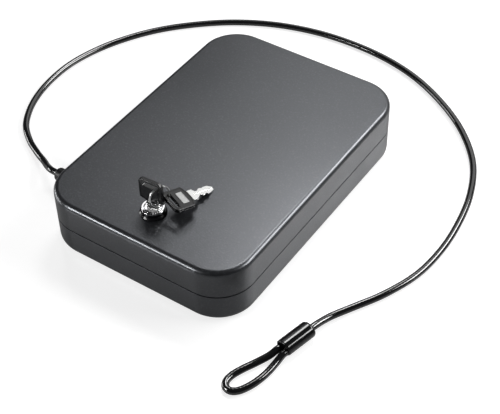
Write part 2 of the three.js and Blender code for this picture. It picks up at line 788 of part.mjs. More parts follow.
// The ring hangs in the slot of the key in the lock
const slotFloorZ = keyShoulderZ + keyShoulderLength + keyHeadLength - keySlotInset - keySlotWidth;
const turn = THREE.MathUtils.degToRad(ringTurn);
const lean = THREE.MathUtils.degToRad(ringLean);
const faceReach = (ringOffset[1] + keyHeadThickness / 2) / Math.cos(turn);
const ringClimb = Math.sqrt(ringRadius ** 2 - faceReach ** 2) * Math.cos(lean);
const ringCentreZ = slotFloorZ + fitGap + ringWireRadius - ringClimb;
const ring = new THREE.Group();
ring.position.set(lockX + ringOffset[0], lockY + ringOffset[1], ringCentreZ);
const ringAxis = new THREE.Vector3(
  Math.cos(lean) * Math.cos(turn),
  Math.cos(lean) * Math.sin(turn),
  Math.sin(lean),
);
ring.quaternion.setFromUnitVectors(new THREE.Vector3(0, 0, 1), ringAxis);
const ringSolid = toSolid(new THREE.TorusGeometry(ringRadius, ringWireRadius, 8, 36));
ring.add(named('key_ring', ringSolid, 'steel'));
safe.add(ring);

// The spare key hangs on the ring and rests its tip just over the lid
const spareKey = new THREE.Group();
const keyLength = keyBladeLength + keyShoulderLength + keyHeadLength;
const pitch = THREE.MathUtils.degToRad(sparePitch);
const roll = THREE.MathUtils.degToRad(spareRoll);
const tipHalf = new THREE.Vector2(keyTipWidth * Math.sin(roll), keyBladeThickness * Math.cos(roll));
const tipDrop = keyLength * Math.sin(-pitch) + ((tipHalf.x + tipHalf.y) / 2) * Math.cos(pitch);
spareKey.position.set(
  lockX + spareOffset[0],
  lockY + spareOffset[1],
  caseHeight + spareTipGap + tipDrop,
);
spareKey.rotation.order = 'ZXY';
spareKey.rotation.set(pitch, roll, THREE.MathUtils.degToRad(spareTurn));
const spareBody = new THREE.Group();
spareBody.rotation.x = Math.PI / 2;
spareBody.position.y = keyShoulderLength + keyHeadLength;
spareBody.add(named('spare_key_blade', makeKeyBlade(), 'steel'));
spareBody.add(named('spare_key_head', makeKeyHead(), 'plastic'));
spareKey.add(spareBody);
safe.add(spareKey);

export default safe;
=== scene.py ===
import math

import bmesh
import bpy
from mathutils import Matrix, Vector


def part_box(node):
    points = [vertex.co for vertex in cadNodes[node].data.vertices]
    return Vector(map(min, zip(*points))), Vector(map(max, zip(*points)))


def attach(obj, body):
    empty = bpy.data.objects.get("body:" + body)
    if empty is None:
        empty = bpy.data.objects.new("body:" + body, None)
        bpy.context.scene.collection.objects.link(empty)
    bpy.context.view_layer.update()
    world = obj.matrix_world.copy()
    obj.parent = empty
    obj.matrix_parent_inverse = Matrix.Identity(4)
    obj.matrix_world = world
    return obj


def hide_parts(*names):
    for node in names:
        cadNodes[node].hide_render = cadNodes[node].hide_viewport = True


# Portable car safe: two pressed shells, cam lock with keys, split ring and tether cable.
# Metres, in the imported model's frame: +Z up, +Y from the lock to the hinge.

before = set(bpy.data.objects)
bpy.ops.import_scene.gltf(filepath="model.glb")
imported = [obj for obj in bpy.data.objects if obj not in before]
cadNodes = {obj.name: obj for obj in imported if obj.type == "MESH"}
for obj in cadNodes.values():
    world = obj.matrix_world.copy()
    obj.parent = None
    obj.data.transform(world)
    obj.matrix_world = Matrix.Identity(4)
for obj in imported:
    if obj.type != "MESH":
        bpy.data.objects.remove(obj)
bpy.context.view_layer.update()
print("frame loaded:", len(cadNodes), "nodes")

pieceGap = 0.0003  # between pieces that touch, as in the CAD model
overshoot = 0.01  # how far a cutter reaches past the piece that it cuts
shortOvershoot = 0.001  # the same, where a neighbour is near


# places read from the frame

def nodeBox(node):
    return [Vector(corner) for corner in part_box(node)]


def middleOf(low, high):
    return [(a + b) / 2 for a, b in zip(low, high)]


lidLow, lidHigh = nodeBox("lid_shell")
baseLow, baseHigh = nodeBox("base_shell")
housingLow, housingHigh = nodeBox("lock_housing")
pinLow, pinHigh = nodeBox("hinge_pin")
lockX, lockY = middleOf(housingLow, housingHigh)[:2]
hingeY, hingeZ = middleOf(pinLow, pinHigh)[1:]


# camera

photoCamera = {
    "place": (0.41282, -0.56116, 0.66389),
    "angles": (45.465, 1.038, 34.017),
    "lens": 89.49,
}


def addCamera():
    data = bpy.data.cameras.new("photoCamera")
    data.lens = photoCamera["lens"]
    camera = bpy.data.objects.new("photoCamera", data)
    bpy.context.scene.collection.objects.link(camera)
    camera.location = photoCamera["place"]
    camera.rotation_euler = [math.radians(angle) for angle in photoCamera["angles"]]
    bpy.context.scene.camera = camera


addCamera()
print("camera placed")


# modelling helpers

def deselectAll():
    if bpy.context.mode != "OBJECT":
        bpy.ops.object.mode_set(mode="OBJECT")
    bpy.ops.object.select_all(action="DESELECT")


def activate(piece):
    deselectAll()
    piece.select_set(True)
    bpy.context.view_layer.objects.active = piece


def applyPlace(piece):
    activate(piece)
    bpy.ops.object.transform_apply(location=True, rotation=True, scale=True)


def movePiece(piece, matrix):
    piece.matrix_world = matrix
    applyPlace(piece)


def takeNew(name):  # the primitive just added, with its place put into its mesh
    piece = bpy.context.active_object
    piece.name = name
    piece.data.name = name
    applyPlace(piece)
    return piece


def addBox(name, low, high):
    deselectAll()
    size = [b - a for a, b in zip(low, high)]
    bpy.ops.mesh.primitive_cube_add(size=1, location=middleOf(low, high), scale=size)
    return takeNew(name)


def addRod(name, radius, start, end, sides=48):
    deselectAll()
    start, end = Vector(start), Vector(end)
    run = end - start
    turn = run.to_track_quat("Z", "Y").to_euler()
    bpy.ops.mesh.primitive_cylinder_add(
        vertices=sides, radius=radius, depth=run.length, location=(start + end) / 2, rotation=turn
    )
    return takeNew(name)


def openMesh(piece, kind, test):  # edit mode, with the parts of that kind that pass the test selected
    activate(piece)
    bpy.ops.object.mode_set(mode="EDIT")
    bpy.ops.mesh.select_mode(type=kind)
    bpy.ops.mesh.select_all(action="DESELECT")
    mesh = bmesh.from_edit_mesh(piece.data)
    for item in {"VERT": mesh.verts, "EDGE": mesh.edges, "FACE": mesh.faces}[kind]:
        if test(item):
            item.select_set(True)
    bmesh.update_edit_mesh(piece.data)


def closeMesh():
    bpy.ops.object.mode_set(mode="OBJECT")


def everything(item):
    return True


def isUpright(edge):
    a, b = (vertex.co for vertex in edge.verts)
    return (a - b).xy.length < 1e-6


def liesAt(axis, value, reach=1e-5):  # a test for edges or faces in the plane at that value
    return lambda item: all(abs(vertex.co[axis] - value) < reach for vertex in item.verts)


def anyOf(*tests):
    return lambda item: any(test(item) for test in tests)


def allOf(*tests):
    return lambda item: all(test(item) for test in tests)


def bevelEdges(piece, test, width, segments):
    openMesh(piece, "EDGE", test)
    bpy.ops.mesh.bevel(offset=width, segments=segments, clamp_overlap=False)
    closeMesh()


def applyModifier(piece, kind, **values):
    activate(piece)
    modifier = piece.modifiers.new(kind.lower(), kind)
    for key, value in values.items():
        setattr(modifier, key, value)
    bpy.ops.object.modifier_apply(modifier=modifier.name)


def roundEdges(piece, width, segments=2, angle=50):  # every edge that turns by more than the angle
    applyModifier(
        piece,
        "BEVEL",
        width=width,
        segments=segments,
        limit_method="ANGLE",
        angle_limit=math.radians(angle),
        use_clamp_overlap=True,
        miter_outer="MITER_ARC",
    )


def combine(piece, tool, operation):
    applyModifier(piece, "BOOLEAN", object=tool, operation=operation, solver="EXACT")
    bpy.data.objects.remove(tool)


def cutAway(piece, cutter):
    combine(piece, cutter, "DIFFERENCE")


def drill(piece, radius, low, high, sides=64):  # straight down the piece's own Z axis
    start, end = (0, 0, low.z - overshoot), (0, 0, high.z + overshoot)
    cutAway(piece, addRod("drill", radius, start, end, sides))


def joinPieces(pieces):  # into the first of them
    activate(pieces[0])
    for piece in pieces[1:]:
        piece.select_set(True)
    bpy.ops.object.join()
    return pieces[0]


def copyPiece(piece, name):  # a copy with its own mesh
    twin = piece.copy()
    twin.data = piece.data.copy()
    twin.name = name
    bpy.context.scene.collection.objects.link(twin)
    return twin


def addPlate(name, outline, low, high):  # a flat plate of that outline, standing between two heights
    deselectAll()
    bpy.ops.mesh.primitive_circle_add(vertices=len(outline), radius=1, fill_type="NGON")
    piece = takeNew(name)
    for vertex, point in zip(piece.data.vertices, outline):
        vertex.co = (point[0], point[1], low)
    openMesh(piece, "FACE", everything)
    bpy.ops.mesh.extrude_region_move(TRANSFORM_OT_translate={"value": (0, 0, high - low)})
    bpy.ops.mesh.select_all(action="SELECT")
    bpy.ops.mesh.normals_make_consistent(inside=False)
    closeMesh()
    return piece


def addTurned(name, profile, sides):  # a closed outline of (radius, height) turned about Z
    deselectAll()
    bpy.ops.mesh.primitive_circle_add(vertices=len(profile), radius=1, fill_type="NOTHING")
    piece = takeNew(name)
    for vertex, (radius, height) in zip(piece.data.vertices, profile):
        vertex.co = (radius, 0, height)
    openMesh(piece, "EDGE", everything)
    bpy.ops.mesh.spin(steps=sides, angle=2 * math.pi, center=(0, 0, 0), axis=(0, 0, 1))
    bpy.ops.mesh.select_all(action="SELECT")
    bpy.ops.mesh.remove_doubles(threshold=1e-6)
    bpy.ops.mesh.delete_loose()
    bpy.ops.mesh.select_all(action="SELECT")
    bpy.ops.mesh.normals_make_consistent(inside=False)
    closeMesh()
    return piece


def softCorner(centre, radius, startAngle, endAngle, steps):  # points of an arc, in degrees
    turns = [math.radians(startAngle + (endAngle - startAngle) * step / steps) for step in range(steps + 1)]
    return [(centre[0] + radius * math.cos(turn), centre[1] + radius * math.sin(turn)) for turn in turns]


def roundedOutline(halfX, halfY, radius, steps=12):
    outline = []
    for sideX, sideY, turn in ((1, -1, -90), (1, 1, 0), (-1, 1, 90), (-1, -1, 180)):
        centre = (sideX * (halfX - radius), sideY * (halfY - radius))
        outline += softCorner(centre, radius, turn, turn + 90, steps)
    return outline


def take(form, *names):  # several of a piece's settings at once
    return [form[name] for name in names]


def spinAbout(degrees, axis):
    return Matrix.Rotation(math.radians(degrees), 4, axis)


def aimUp(direction):  # the turn that lays +Z along the direction
    return Vector(direction).to_track_quat("Z", "Y").to_matrix().to_4x4()


def finishPiece(piece, material, body, slotName, *replaced, smoothAngle=35, weighted=True):
    # its shading and material, then the body it rides on and the nodes it stands for
    activate(piece)
    bpy.ops.object.shade_smooth_by_angle(angle=math.radians(smoothAngle))
    if weighted:
        applyModifier(piece, "WEIGHTED_NORMAL", keep_sharp=True)
    piece.data.materials.clear()
    piece.data.materials.append(material)
    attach(piece, body)
    if replaced:
        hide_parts(*replaced)
    return piece


# shader node groups

def addNode(tree, kind, **values):
    node = tree.nodes.new(kind)
    for key, value in values.items():
        setattr(node, key, value)
    return node


def addMath(tree, operation, *values):  # each value is a number or another node's output
    node = addNode(tree, "ShaderNodeMath", operation=operation)
    for socket, value in zip(node.inputs, values):
        if isinstance(value, bpy.types.NodeSocket):
            tree.links.new(value, socket)
        else:
            socket.default_value = value
    return node.outputs["Value"]


def addNoise(tree, detail):
    noise = addNode(tree, "ShaderNodeTexNoise", noise_dimensions="3D")
    noise.inputs["Detail"].default_value = detail
    return noise


def newGroup(name, inputs, outputs):
    group = bpy.data.node_groups.new(name, "ShaderNodeTree")
    for title, kind, value in inputs:
        socket = group.interface.new_socket(title, in_out="INPUT", socket_type=kind)
        if value is not None:
            socket.default_value = value
    for title in outputs:
        group.interface.new_socket(title, in_out="OUTPUT", socket_type="NodeSocketFloat")
    return group, addNode(group, "NodeGroupInput"), addNode(group, "NodeGroupOutput")


def makeGrainGroup():  # fine pebbled grain, and the light specks in it
    inputs = [
        ("Vector", "NodeSocketVector", None),
        ("Scale", "NodeSocketFloat", 900.0),
        ("Threshold", "NodeSocketFloat", 0.62),
    ]
    group, inlet, outlet = newGroup("surfaceGrain", inputs, ["Height", "Specks"])
    noise = addNoise(group, 3.0)
    noise.inputs["Roughness"].default_value = 0.6
    specks = addNode(group, "ShaderNodeMapRange", interpolation_type="SMOOTHSTEP")
    specks.inputs["From Max"].default_value = 0.8
    group.links.new(inlet.outputs["Vector"], noise.inputs["Vector"])
    group.links.new(inlet.outputs["Scale"], noise.inputs["Scale"])
    group.links.new(noise.outputs["Fac"], specks.inputs["Value"])
    group.links.new(inlet.outputs["Threshold"], specks.inputs["From Min"])
    group.links.new(noise.outputs["Fac"], outlet.inputs["Height"])
    group.links.new(specks.outputs["Result"], outlet.inputs["Specks"])
    return group


def makeHandlingGroup():  # broad soft patches, for uneven gloss
    inputs = [("Vector", "NodeSocketVector", None), ("Scale", "NodeSocketFloat", 20.0)]
    group, inlet, outlet = newGroup("handlingMarks", inputs, ["Mask"])
    noise = addNoise(group, 4.0)
    noise.inputs["Distortion"].default_value = 0.6
    spread = addNode(group, "ShaderNodeMapRange")
    spread.inputs["From Min"].default_value = 0.35
    spread.inputs["From Max"].default_value = 0.65
    group.links.new(inlet.outputs["Vector"], noise.inputs["Vector"])
    group.links.new(inlet.outputs["Scale"], noise.inputs["Scale"])
    group.links.new(noise.outputs["Fac"], spread.inputs["Value"])
    group.links.new(spread.outputs["Result"], outlet.inputs["Mask"])
    return group


def makeBrushingGroup():  # fine straight scratches along one axis
    inputs = [("Vector", "NodeSocketVector", None), ("Stretch", "NodeSocketVector", (200.0, 3000.0, 3000.0))]
    group, inlet, outlet = newGroup("brushedLines", inputs, ["Height"])
    scaled = addNode(group, "ShaderNodeVectorMath", operation="MULTIPLY")
    noise = addNoise(group, 2.0)
    noise.inputs["Scale"].default_value = 1.0
    group.links.new(inlet.outputs["Vector"], scaled.inputs[0])
    group.links.new(inlet.outputs["Stretch"], scaled.inputs[1])
    group.links.new(scaled.outputs["Vector"], noise.inputs["Vector"])
    group.links.new(noise.outputs["Fac"], outlet.inputs["Height"])
    return group


grainGroup = makeGrainGroup()
handlingGroup = makeHandlingGroup()
brushingGroup = makeBrushingGroup()
print("shader groups made")


# materials

def newMaterial(name, roughness, metallic=0.0, **plain):
    material = bpy.data.materials.new(name)
    material.use_nodes = True
    tree = material.node_tree
    shader = tree.nodes["Principled BSDF"]
    shader.inputs["Roughness"].default_value = roughness
    shader.inputs["Metallic"].default_value = metallic
    for title, value in plain.items():
        shader.inputs[title].default_value = value
    place = addNode(tree, "ShaderNodeTexCoord")
    return material, tree, shader, place.outputs["Object"]


def placeGroup(tree, group, vector, **values):
    node = addNode(tree, "ShaderNodeGroup", node_tree=group)
    tree.links.new(vector, node.inputs["Vector"])
    for title, value in values.items():
        node.inputs[title].default_value = value
    return node


def addBump(tree, shader, height, distance):
    bump = addNode(tree, "ShaderNodeBump")
    bump.inputs["Distance"].default_value = distance
    tree.links.new(height, bump.inputs["Height"])
    tree.links.new(bump.outputs["Normal"], shader.inputs["Normal"])


def mixColours(tree, shader, mask, first, second):
    mix = addNode(tree, "ShaderNodeMix", data_type="RGBA")
    mix.inputs["A"].default_value = (*first, 1)
    mix.inputs["B"].default_value = (*second, 1)
    tree.links.new(mask, mix.inputs["Factor"])
    tree.links.new(mix.outputs["Result"], shader.inputs["Base Color"])


def spreadGloss(tree, shader, place, scale, gloss):  # roughness that wanders between two values
    marks = placeGroup(tree, handlingGroup, place, Scale=scale)
    spread = addNode(tree, "ShaderNodeMapRange")
    spread.inputs["To Min"].default_value, spread.inputs["To Max"].default_value = gloss
    tree.links.new(marks.outputs["Mask"], spread.inputs["Value"])
    tree.links.new(spread.outputs["Result"], shader.inputs["Roughness"])
    return marks.outputs["Mask"]


def makeGrained(name, dark, light, gloss, scale, depth, threshold=0.5, marks=60, **plain):
    # a pebbled surface with light specks and uneven gloss
    material, tree, shader, place = newMaterial(name, gloss[0], **plain)
    grain = placeGroup(tree, grainGroup, place, Scale=scale, Threshold=threshold)
    spreadGloss(tree, shader, place, marks, gloss)
    mixColours(tree, shader, grain.outputs["Specks"], dark, light)
    addBump(tree, shader, grain.outputs["Height"], depth)
    return material


powderCoat = {  # its last two entries are the shader's own sockets
    "dark": (0.0105, 0.0109, 0.012),
    "light": (0.04, 0.042, 0.0465),
    "gloss": (0.28, 0.32),
    "scale": 700,
    "depth": 0.00005,
    "threshold": 0.48,
    "marks": 14,
    "IOR": 1.8,
    "Specular Tint": (0.91, 0.94, 1.0, 1.0),
}
plastics = {  # the grain's dark and light, gloss from and to, and the grain's scale and depth
    "mouldedPlastic": ((0.005, 0.005, 0.0055), (0.011, 0.011, 0.012), (0.16, 0.24), 1500, 0.000012),
    "keyPanel": ((0.4, 0.403, 0.4), (0.62, 0.624, 0.62), (0.34, 0.45), 1100, 0.00003),
    "sleeveRubber": ((0.004, 0.004, 0.0045), (0.009, 0.009, 0.0095), (0.34, 0.45), 1100, 0.00002),
    "ferruleCoat": ((0.005, 0.005, 0.0055), (0.009, 0.009, 0.0095), (0.09, 0.13), 300, 0.000004),
}
metals = {  # colour, gloss from and to, scratches along X, Y and Z, their depth, and the marks' scale
    "lockChrome": ((0.9, 0.9, 0.91), (0.05, 0.09), (90, 90, 90), 0.0000004, 60),
    "keySteel": ((0.74, 0.74, 0.73), (0.18, 0.26), (300, 1500, 1500), 0.0000005, 90),
    "ringNickel": ((0.88, 0.88, 0.87), (0.24, 0.32), (300, 300, 300), 0.0000004, 90),
    "platedSteel": ((0.55, 0.55, 0.54), (0.26, 0.4), (200, 1500, 1500), 0.000002, 90),
    "wornBrass": ((0.62, 0.45, 0.18), (0.26, 0.4), (1500, 200, 1500), 0.000002, 90),
}
metalMarkShade = 0.93
foamCells = {
    "dark": (0.012, 0.012, 0.013),
    "light": (0.055, 0.055, 0.06),
    "roughness": 0.95,
    "scale": 1100,
    "depth": 0.0003,
}
cableCoat = {
    "colour": (0.005, 0.005, 0.0055),
    "strands": 6,
    "pitch": 0.016,
    "depth": 0.000006,
    "gloss": (0.06, 0.09),
    "marks": 70,
    "index": 1.8,
}


def makeMetal(name):
    colour, gloss, scratches, depth, marksScale = metals[name]
    material, tree, shader, place = newMaterial(name, gloss[0], 1.0)
    brushed = placeGroup(tree, brushingGroup, place, Stretch=scratches)
    mask = spreadGloss(tree, shader, place, marksScale, gloss)
    mixColours(tree, shader, mask, colour, tuple(part * metalMarkShade for part in colour))
    addBump(tree, shader, brushed.outputs["Height"], depth)
    return material


def makeFoamMaterial():
    material, tree, shader, place = newMaterial("liningFoam", foamCells["roughness"])
    cells = addNode(tree, "ShaderNodeTexVoronoi", feature="F1")
    cells.inputs["Scale"].default_value = foamCells["scale"]
    tree.links.new(place, cells.inputs["Vector"])
    mixColours(tree, shader, cells.outputs["Distance"], foamCells["dark"], foamCells["light"])
    addBump(tree, shader, cells.outputs["Distance"], foamCells["depth"])
    return material


def makeCableCoat():  # glossy sheath over the rope's strands, which wind along the cable's own UV
    material, tree, shader, place = newMaterial("cableCoat", cableCoat["gloss"][0], IOR=cableCoat["index"])
    shader.inputs["Base Color"].default_value = (*cableCoat["colour"], 1)
    winding = addNode(tree, "ShaderNodeUVMap", uv_map="winding")
    split = addNode(tree, "ShaderNodeSeparateXYZ")
    tree.links.new(winding.outputs["UV"], split.inputs["Vector"])
    along = addMath(tree, "DIVIDE", split.outputs["Y"], cableCoat["pitch"])
    turned = addMath(tree, "ADD", split.outputs["X"], along)
    angle = addMath(tree, "MULTIPLY", turned, 2 * math.pi * cableCoat["strands"])
    ridges = addMath(tree, "SINE", angle)
    spreadGloss(tree, shader, place, cableCoat["marks"], cableCoat["gloss"])
    addBump(tree, shader, ridges, cableCoat["depth"])
    return material


coatMaterial = makeGrained("powderCoat", **powderCoat)
foamMaterial = makeFoamMaterial()
chromeMaterial, keySteelMaterial, ringMaterial, steelMaterial, brassMaterial = (
    makeMetal(name) for name in metals
)
plasticMaterial, panelMaterial, rubberMaterial, ferruleMaterial = (
    makeGrained(name, *finish) for name, finish in plastics.items()
)
cableMaterial = makeCableCoat()
print("materials made")


# cords, over the routes that the CAD tubes follow

tetherCable = {
    "radius": 0.00265,
    "sides": 16,
    "spacing": 0.003,
    "eyeSpacing": 0.0015,
    "sleeveNose": (-0.1127, -0.0693, 0.0132),
    "sleeveTuck": 0.0015,
    "sleeveStraight": 0.005,
    "ferruleStraight": 0.004,
}
tetherRoute = [  # a point without a height lies on the floor
    (-0.1265, -0.0651, 0.0096),
    (-0.136, -0.0593, 0.0063),
    (-0.145, -0.0548, 0.0042),
    (-0.154, -0.0501, 0.003),
    (-0.1633, -0.045),
    (-0.179, -0.0325),
    (-0.1902, -0.0155),
    (-0.1977, 0.0044),
    (-0.2015, 0.027),
    (-0.2015, 0.05),
    (-0.1965, 0.074),
    (-0.1865, 0.0995),
    (-0.1692, 0.128),
    (-0.147, 0.1525),
    (-0.118, 0.1758),
    (-0.0845, 0.1932),
    (-0.047, 0.2036),
    (-0.0116, 0.2064),
    (0.025, 0.2033),
    (0.058, 0.194),
    (0.0905, 0.1774),
    (0.1205, 0.155),
    (0.1455, 0.1256),
    (0.1602, 0.092),
    (0.1672, 0.058),
    (0.1691, 0.027),
    (0.1658, -0.003),
    (0.1553, -0.0323),
    (0.1426, -0.0555),
    (0.1343, -0.0715, 0.0032),
]
eyeRoute = [
    (0.1184, -0.1222, 0.0034),
    (0.1136, -0.1325),
    (0.1093, -0.1415),
    (0.1062, -0.15),
    (0.1059, -0.1564),
    (0.1086, -0.1605),
    (0.1129, -0.1611),
    (0.1168, -0.1584),
    (0.1203, -0.1526),
    (0.1231, -0.1446),
    (0.1248, -0.135),
    (0.1255, -0.1242, 0.0034),
]
ferruleForm = {
    "start": Vector((0.12953, -0.08877, 0.0045)),
    "end": Vector((0.1237, -0.1142, 0.0045)),
    "width": 0.0132,
    "height": 0.0115,
    "sides": 56,
    "rims": (0.0028, 0.0012),
    "rounds": (0.0025, 0.001),
    "lip": 0.0002,
    "recess": 0.0011,
    "strandSpread": 0.0058,
    "tuck": 0.0016,
}
ferruleRun = (ferruleForm["end"] - ferruleForm["start"]).normalized()


def onFloor(route):
    return [Vector((*point, tetherCable["radius"])[:3]) for point in route]


def smoothLine(points, spacing):  # a centripetal curve through the points, as the CAD tube's
    points = [Vector(point) for point in points]
    points = [2 * points[0] - points[1]] + points + [2 * points[-1] - points[-2]]
    line = []
    for before, start, end, after in zip(points, points[1:], points[2:], points[3:]):
        first, middle, last = (
            max((b - a).length, 1e-9) ** 0.5 for a, b in ((before, start), (start, end), (end, after))
        )
        leave = (start - before) / first - (end - before) / (first + middle) + (end - start) / middle
        arrive = (end - start) / middle - (after - start) / (middle + last) + (after - end) / last
        leave, arrive = leave * middle, arrive * middle
        steps = max(1, round((end - start).length / spacing))
        for step in range(steps):
            t = step / steps
            line.append(
                start
                + leave * t
                + (3 * (end - start) - 2 * leave - arrive) * t**2
                + (2 * (start - end) + leave + arrive) * t**3
            )
    line.append(points[-2])
    return line


def lineLength(line):
    return sum((b - a).length for a, b in zip(line, line[1:]))


def tubeRings(line, radius, sides):  # a ring of points round each point of the line, without twist
    side = (line[1] - line[0]).orthogonal().normalized()
    turns = [2 * math.pi * step / sides for step in range(sides)]
    rings = []
    for index, point in enumerate(line):
        ahead = line[min(index + 1, len(line) - 1)] - line[max(index - 1, 0)]
        ahead.normalize()
        side = (side - ahead * side.dot(ahead)).normalized()
        up = ahead.cross(side)
        rings += [point + radius * (math.cos(turn) * side + math.sin(turn) * up) for turn in turns]
    return rings


def tubeAlong(name, line, radius, sides):  # a closed tube with UV: turns round it, metres along it
    travelled = [0.0]
    for before, point in zip(line, line[1:]):
        travelled.append(travelled[-1] + (point - before).length)
    faces, windings = [], []
    for ring in range(len(line) - 1):
        for step in range(sides):
            after = (step + 1) % sides
            low, high = ring * sides, (ring + 1) * sides
            faces.append((low + step, low + after, high + after, high + step))
            a, b = step / sides, (step + 1) / sides
            near, far = travelled[ring], travelled[ring + 1]
            windings += [(a, near), (b, near), (b, far), (a, far)]
    faces.append(tuple(range(sides))[::-1])
    faces.append(tuple((len(line) - 1) * sides + step for step in range(sides)))
    windings += [(0.0, 0.0)] * (2 * sides)
    mesh = bpy.data.meshes.new(name)
    mesh.from_pydata(tubeRings(line, radius, sides), [], faces)
    layer = mesh.uv_layers.new(name="winding")
    for corner, winding in enumerate(windings):
        layer.data[corner].uv = winding
    piece = bpy.data.objects.new(name, mesh)
    bpy.context.scene.collection.objects.link(piece)
    return piece


def makeCable(name, line, node):
    cable = tubeAlong(name, line, tetherCable["radius"], tetherCable["sides"])
    return finishPiece(cable, cableMaterial, "base", "cable_coat", node, smoothAngle=60, weighted=False)


def tetherLine():
    start = Vector(tetherCable["sleeveNose"])
    end = ferruleForm["start"] - ferruleRun * pieceGap
    route = [start, start - Vector((tetherCable["sleeveStraight"], 0, 0))] + onFloor(tetherRoute)
    route += [end - ferruleRun * tetherCable["ferruleStraight"], end]
    line = smoothLine(route, tetherCable["spacing"])
    sleeveTuck = Vector((tetherCable["sleeveTuck"], 0, 0))
    return [line[0] + sleeveTuck] + line + [line[-1] + ferruleRun * ferruleForm["tuck"]]


def eyeLine():
    across = Vector((-ferruleRun.y, ferruleRun.x, 0)) * ferruleForm["strandSpread"] / 2
    mouth = ferruleForm["end"] + ferruleRun * pieceGap
    straight = ferruleForm["end"] + ferruleRun * (pieceGap + tetherCable["radius"])
    route = [mouth - across, straight - across] + onFloor(eyeRoute) + [straight + across, mouth + across]
    line = smoothLine(route, tetherCable["eyeSpacing"])
    tuck = ferruleRun * ferruleForm["tuck"]
    return [line[0] - tuck] + line + [line[-1] - tuck]


def makeFerrule():  # a hollow oval sleeve with rolled ends, crimped over both strands
    width, height = take(ferruleForm, "width", "height")
    length = (ferruleForm["end"] - ferruleForm["start"]).length

    def isOutline(edge):
        spans = [math.hypot(vertex.co.x / width, vertex.co.y / height) for vertex in edge.verts]
        return all(abs(span - 0.5) < 1e-3 for span in spans)

    ferrule = addRod("cableFerrule", 0.5, (0, 0, 0), (0, 0, length), ferruleForm["sides"])
    openMesh(ferrule, "VERT", everything)
    bpy.ops.transform.resize(value=(width, height, 1), center_override=(0, 0, 0))
    closeMesh()
    for end, inward, rim, rounding in zip((0, length), (1, -1), ferruleForm["rims"], ferruleForm["rounds"]):
        openMesh(ferrule, "FACE", liesAt(2, end))
        bpy.ops.mesh.inset(thickness=rim, depth=0)
        bpy.ops.mesh.inset(thickness=ferruleForm["lip"], depth=0)
        bpy.ops.transform.translate(value=(0, 0, inward * ferruleForm["recess"]))
        closeMesh()
        bevelEdges(ferrule, allOf(liesAt(2, end, 1e-6), isOutline), rounding, 6)
    middle = Vector((*ferruleForm["start"].xy, height / 2))
    heading = Matrix.Rotation(math.atan2(ferruleRun.y, ferruleRun.x), 4, "Z")
    movePiece(ferrule, Matrix.Translation(middle) @ heading @ spinAbout(90, "Y") @ spinAbout(90, "Z"))
    return finishPiece(ferrule, ferruleMaterial, "base", "plastic", "cable_ferrule")


tetherPath, eyePath = tetherLine(), eyeLine()
tether = makeCable("tetherCable", tetherPath, "tether_cable")
eye = makeCable("cableEye", eyePath, "cable_eye")
ferrule = makeFerrule()
print("cable length", round(lineLength(tetherPath), 4), "eye length", round(lineLength(eyePath), 4))
print("cords laid")


# strain relief

sleeveForm = {
    "radius": 0.0055,
    "core": 0.0012,
    "neck": 0.0034,
    "nose": 0.003,
    "mouth": 0.0006,
    "grip": 0.0001,
    "flange": 0.007,
    "flangeDepth": 0.002,
    "flangeRound": 0.0006,
    "foot": ((0.0003, 0.0008), (0.0, 0.002)),  # out from the barrel, and along it from the flange
}


def makeSleeve():
    low, high = nodeBox("cable_sleeve")
    length, inward = baseLow.x - low.x, high.x - baseLow.x
    radius, core, neck, nose = take(sleeveForm, "radius", "core", "neck", "nose")
    flange, depth, ease = take(sleeveForm, "flange", "flangeDepth", "flangeRound")
    mouth = length - sleeveForm["mouth"]
    profile = [(core, -inward), (neck, -inward), (neck, pieceGap)]
    profile += softCorner((flange - ease, pieceGap + ease), ease, -90, 0, 3)
    profile += softCorner((flange - ease, pieceGap + depth - ease), ease, 0, 90, 3)
    profile += [(radius + out, depth + along) for out, along in sleeveForm["foot"]]
    profile += softCorner((radius - nose, length - nose), nose, 0, 90, 8)
    profile += [(tetherCable["radius"] - sleeveForm["grip"], mouth), (core, mouth)]
    sleeve = addTurned("strainRelief", profile, 48)
    place = Matrix.Translation((baseLow.x, *middleOf(low, high)[1:]))
    movePiece(sleeve, place @ spinAbout(-90, "Y"))
    return finishPiece(sleeve, rubberMaterial, "base", "rubber", "cable_sleeve")


makeSleeve()
print("strain relief made")


# shells

shellForm = {
    "cornerRadius": 0.030,
    "cornerSteps": 24,
    "topEdge": 0.0042,
    "bottomEdge": 0.007,
    "edgeSteps": 8,
    "wall": 0.0015,
    "lipRound": 0.0003,
    "seamEase": 0.00015,
    "hingeGap": 0.0004,
    "hingeReach": 0.0029,
    "lockHole": 0.0075,
    "cableHole": 0.0037,
}


def makeTray(name, low, high, closedZ, openZ, edgeRadius):
    tray = addBox(name, low, high)
    bevelEdges(tray, isUpright, shellForm["cornerRadius"], shellForm["cornerSteps"])
    openMesh(tray, "FACE", liesAt(2, openZ))
    bpy.ops.mesh.delete(type="FACE")
    closeMesh()
    bevelEdges(tray, liesAt(2, closedZ), edgeRadius, shellForm["edgeSteps"])
    applyModifier(tray, "SOLIDIFY", thickness=shellForm["wall"], offset=-1, use_even_offset=True)
    bevelEdges(tray, liesAt(2, openZ), shellForm["lipRound"], 2)
    reach, gap, wall = take(shellForm, "hingeReach", "hingeGap", "wall")
    cutLow = (pinLow.x - gap, high.y - 2 * wall, hingeZ - reach)
    cutHigh = (pinHigh.x + gap, high.y + wall, hingeZ + reach)
    cutAway(tray, addBox("hingeCut", cutLow, cutHigh))
    return tray


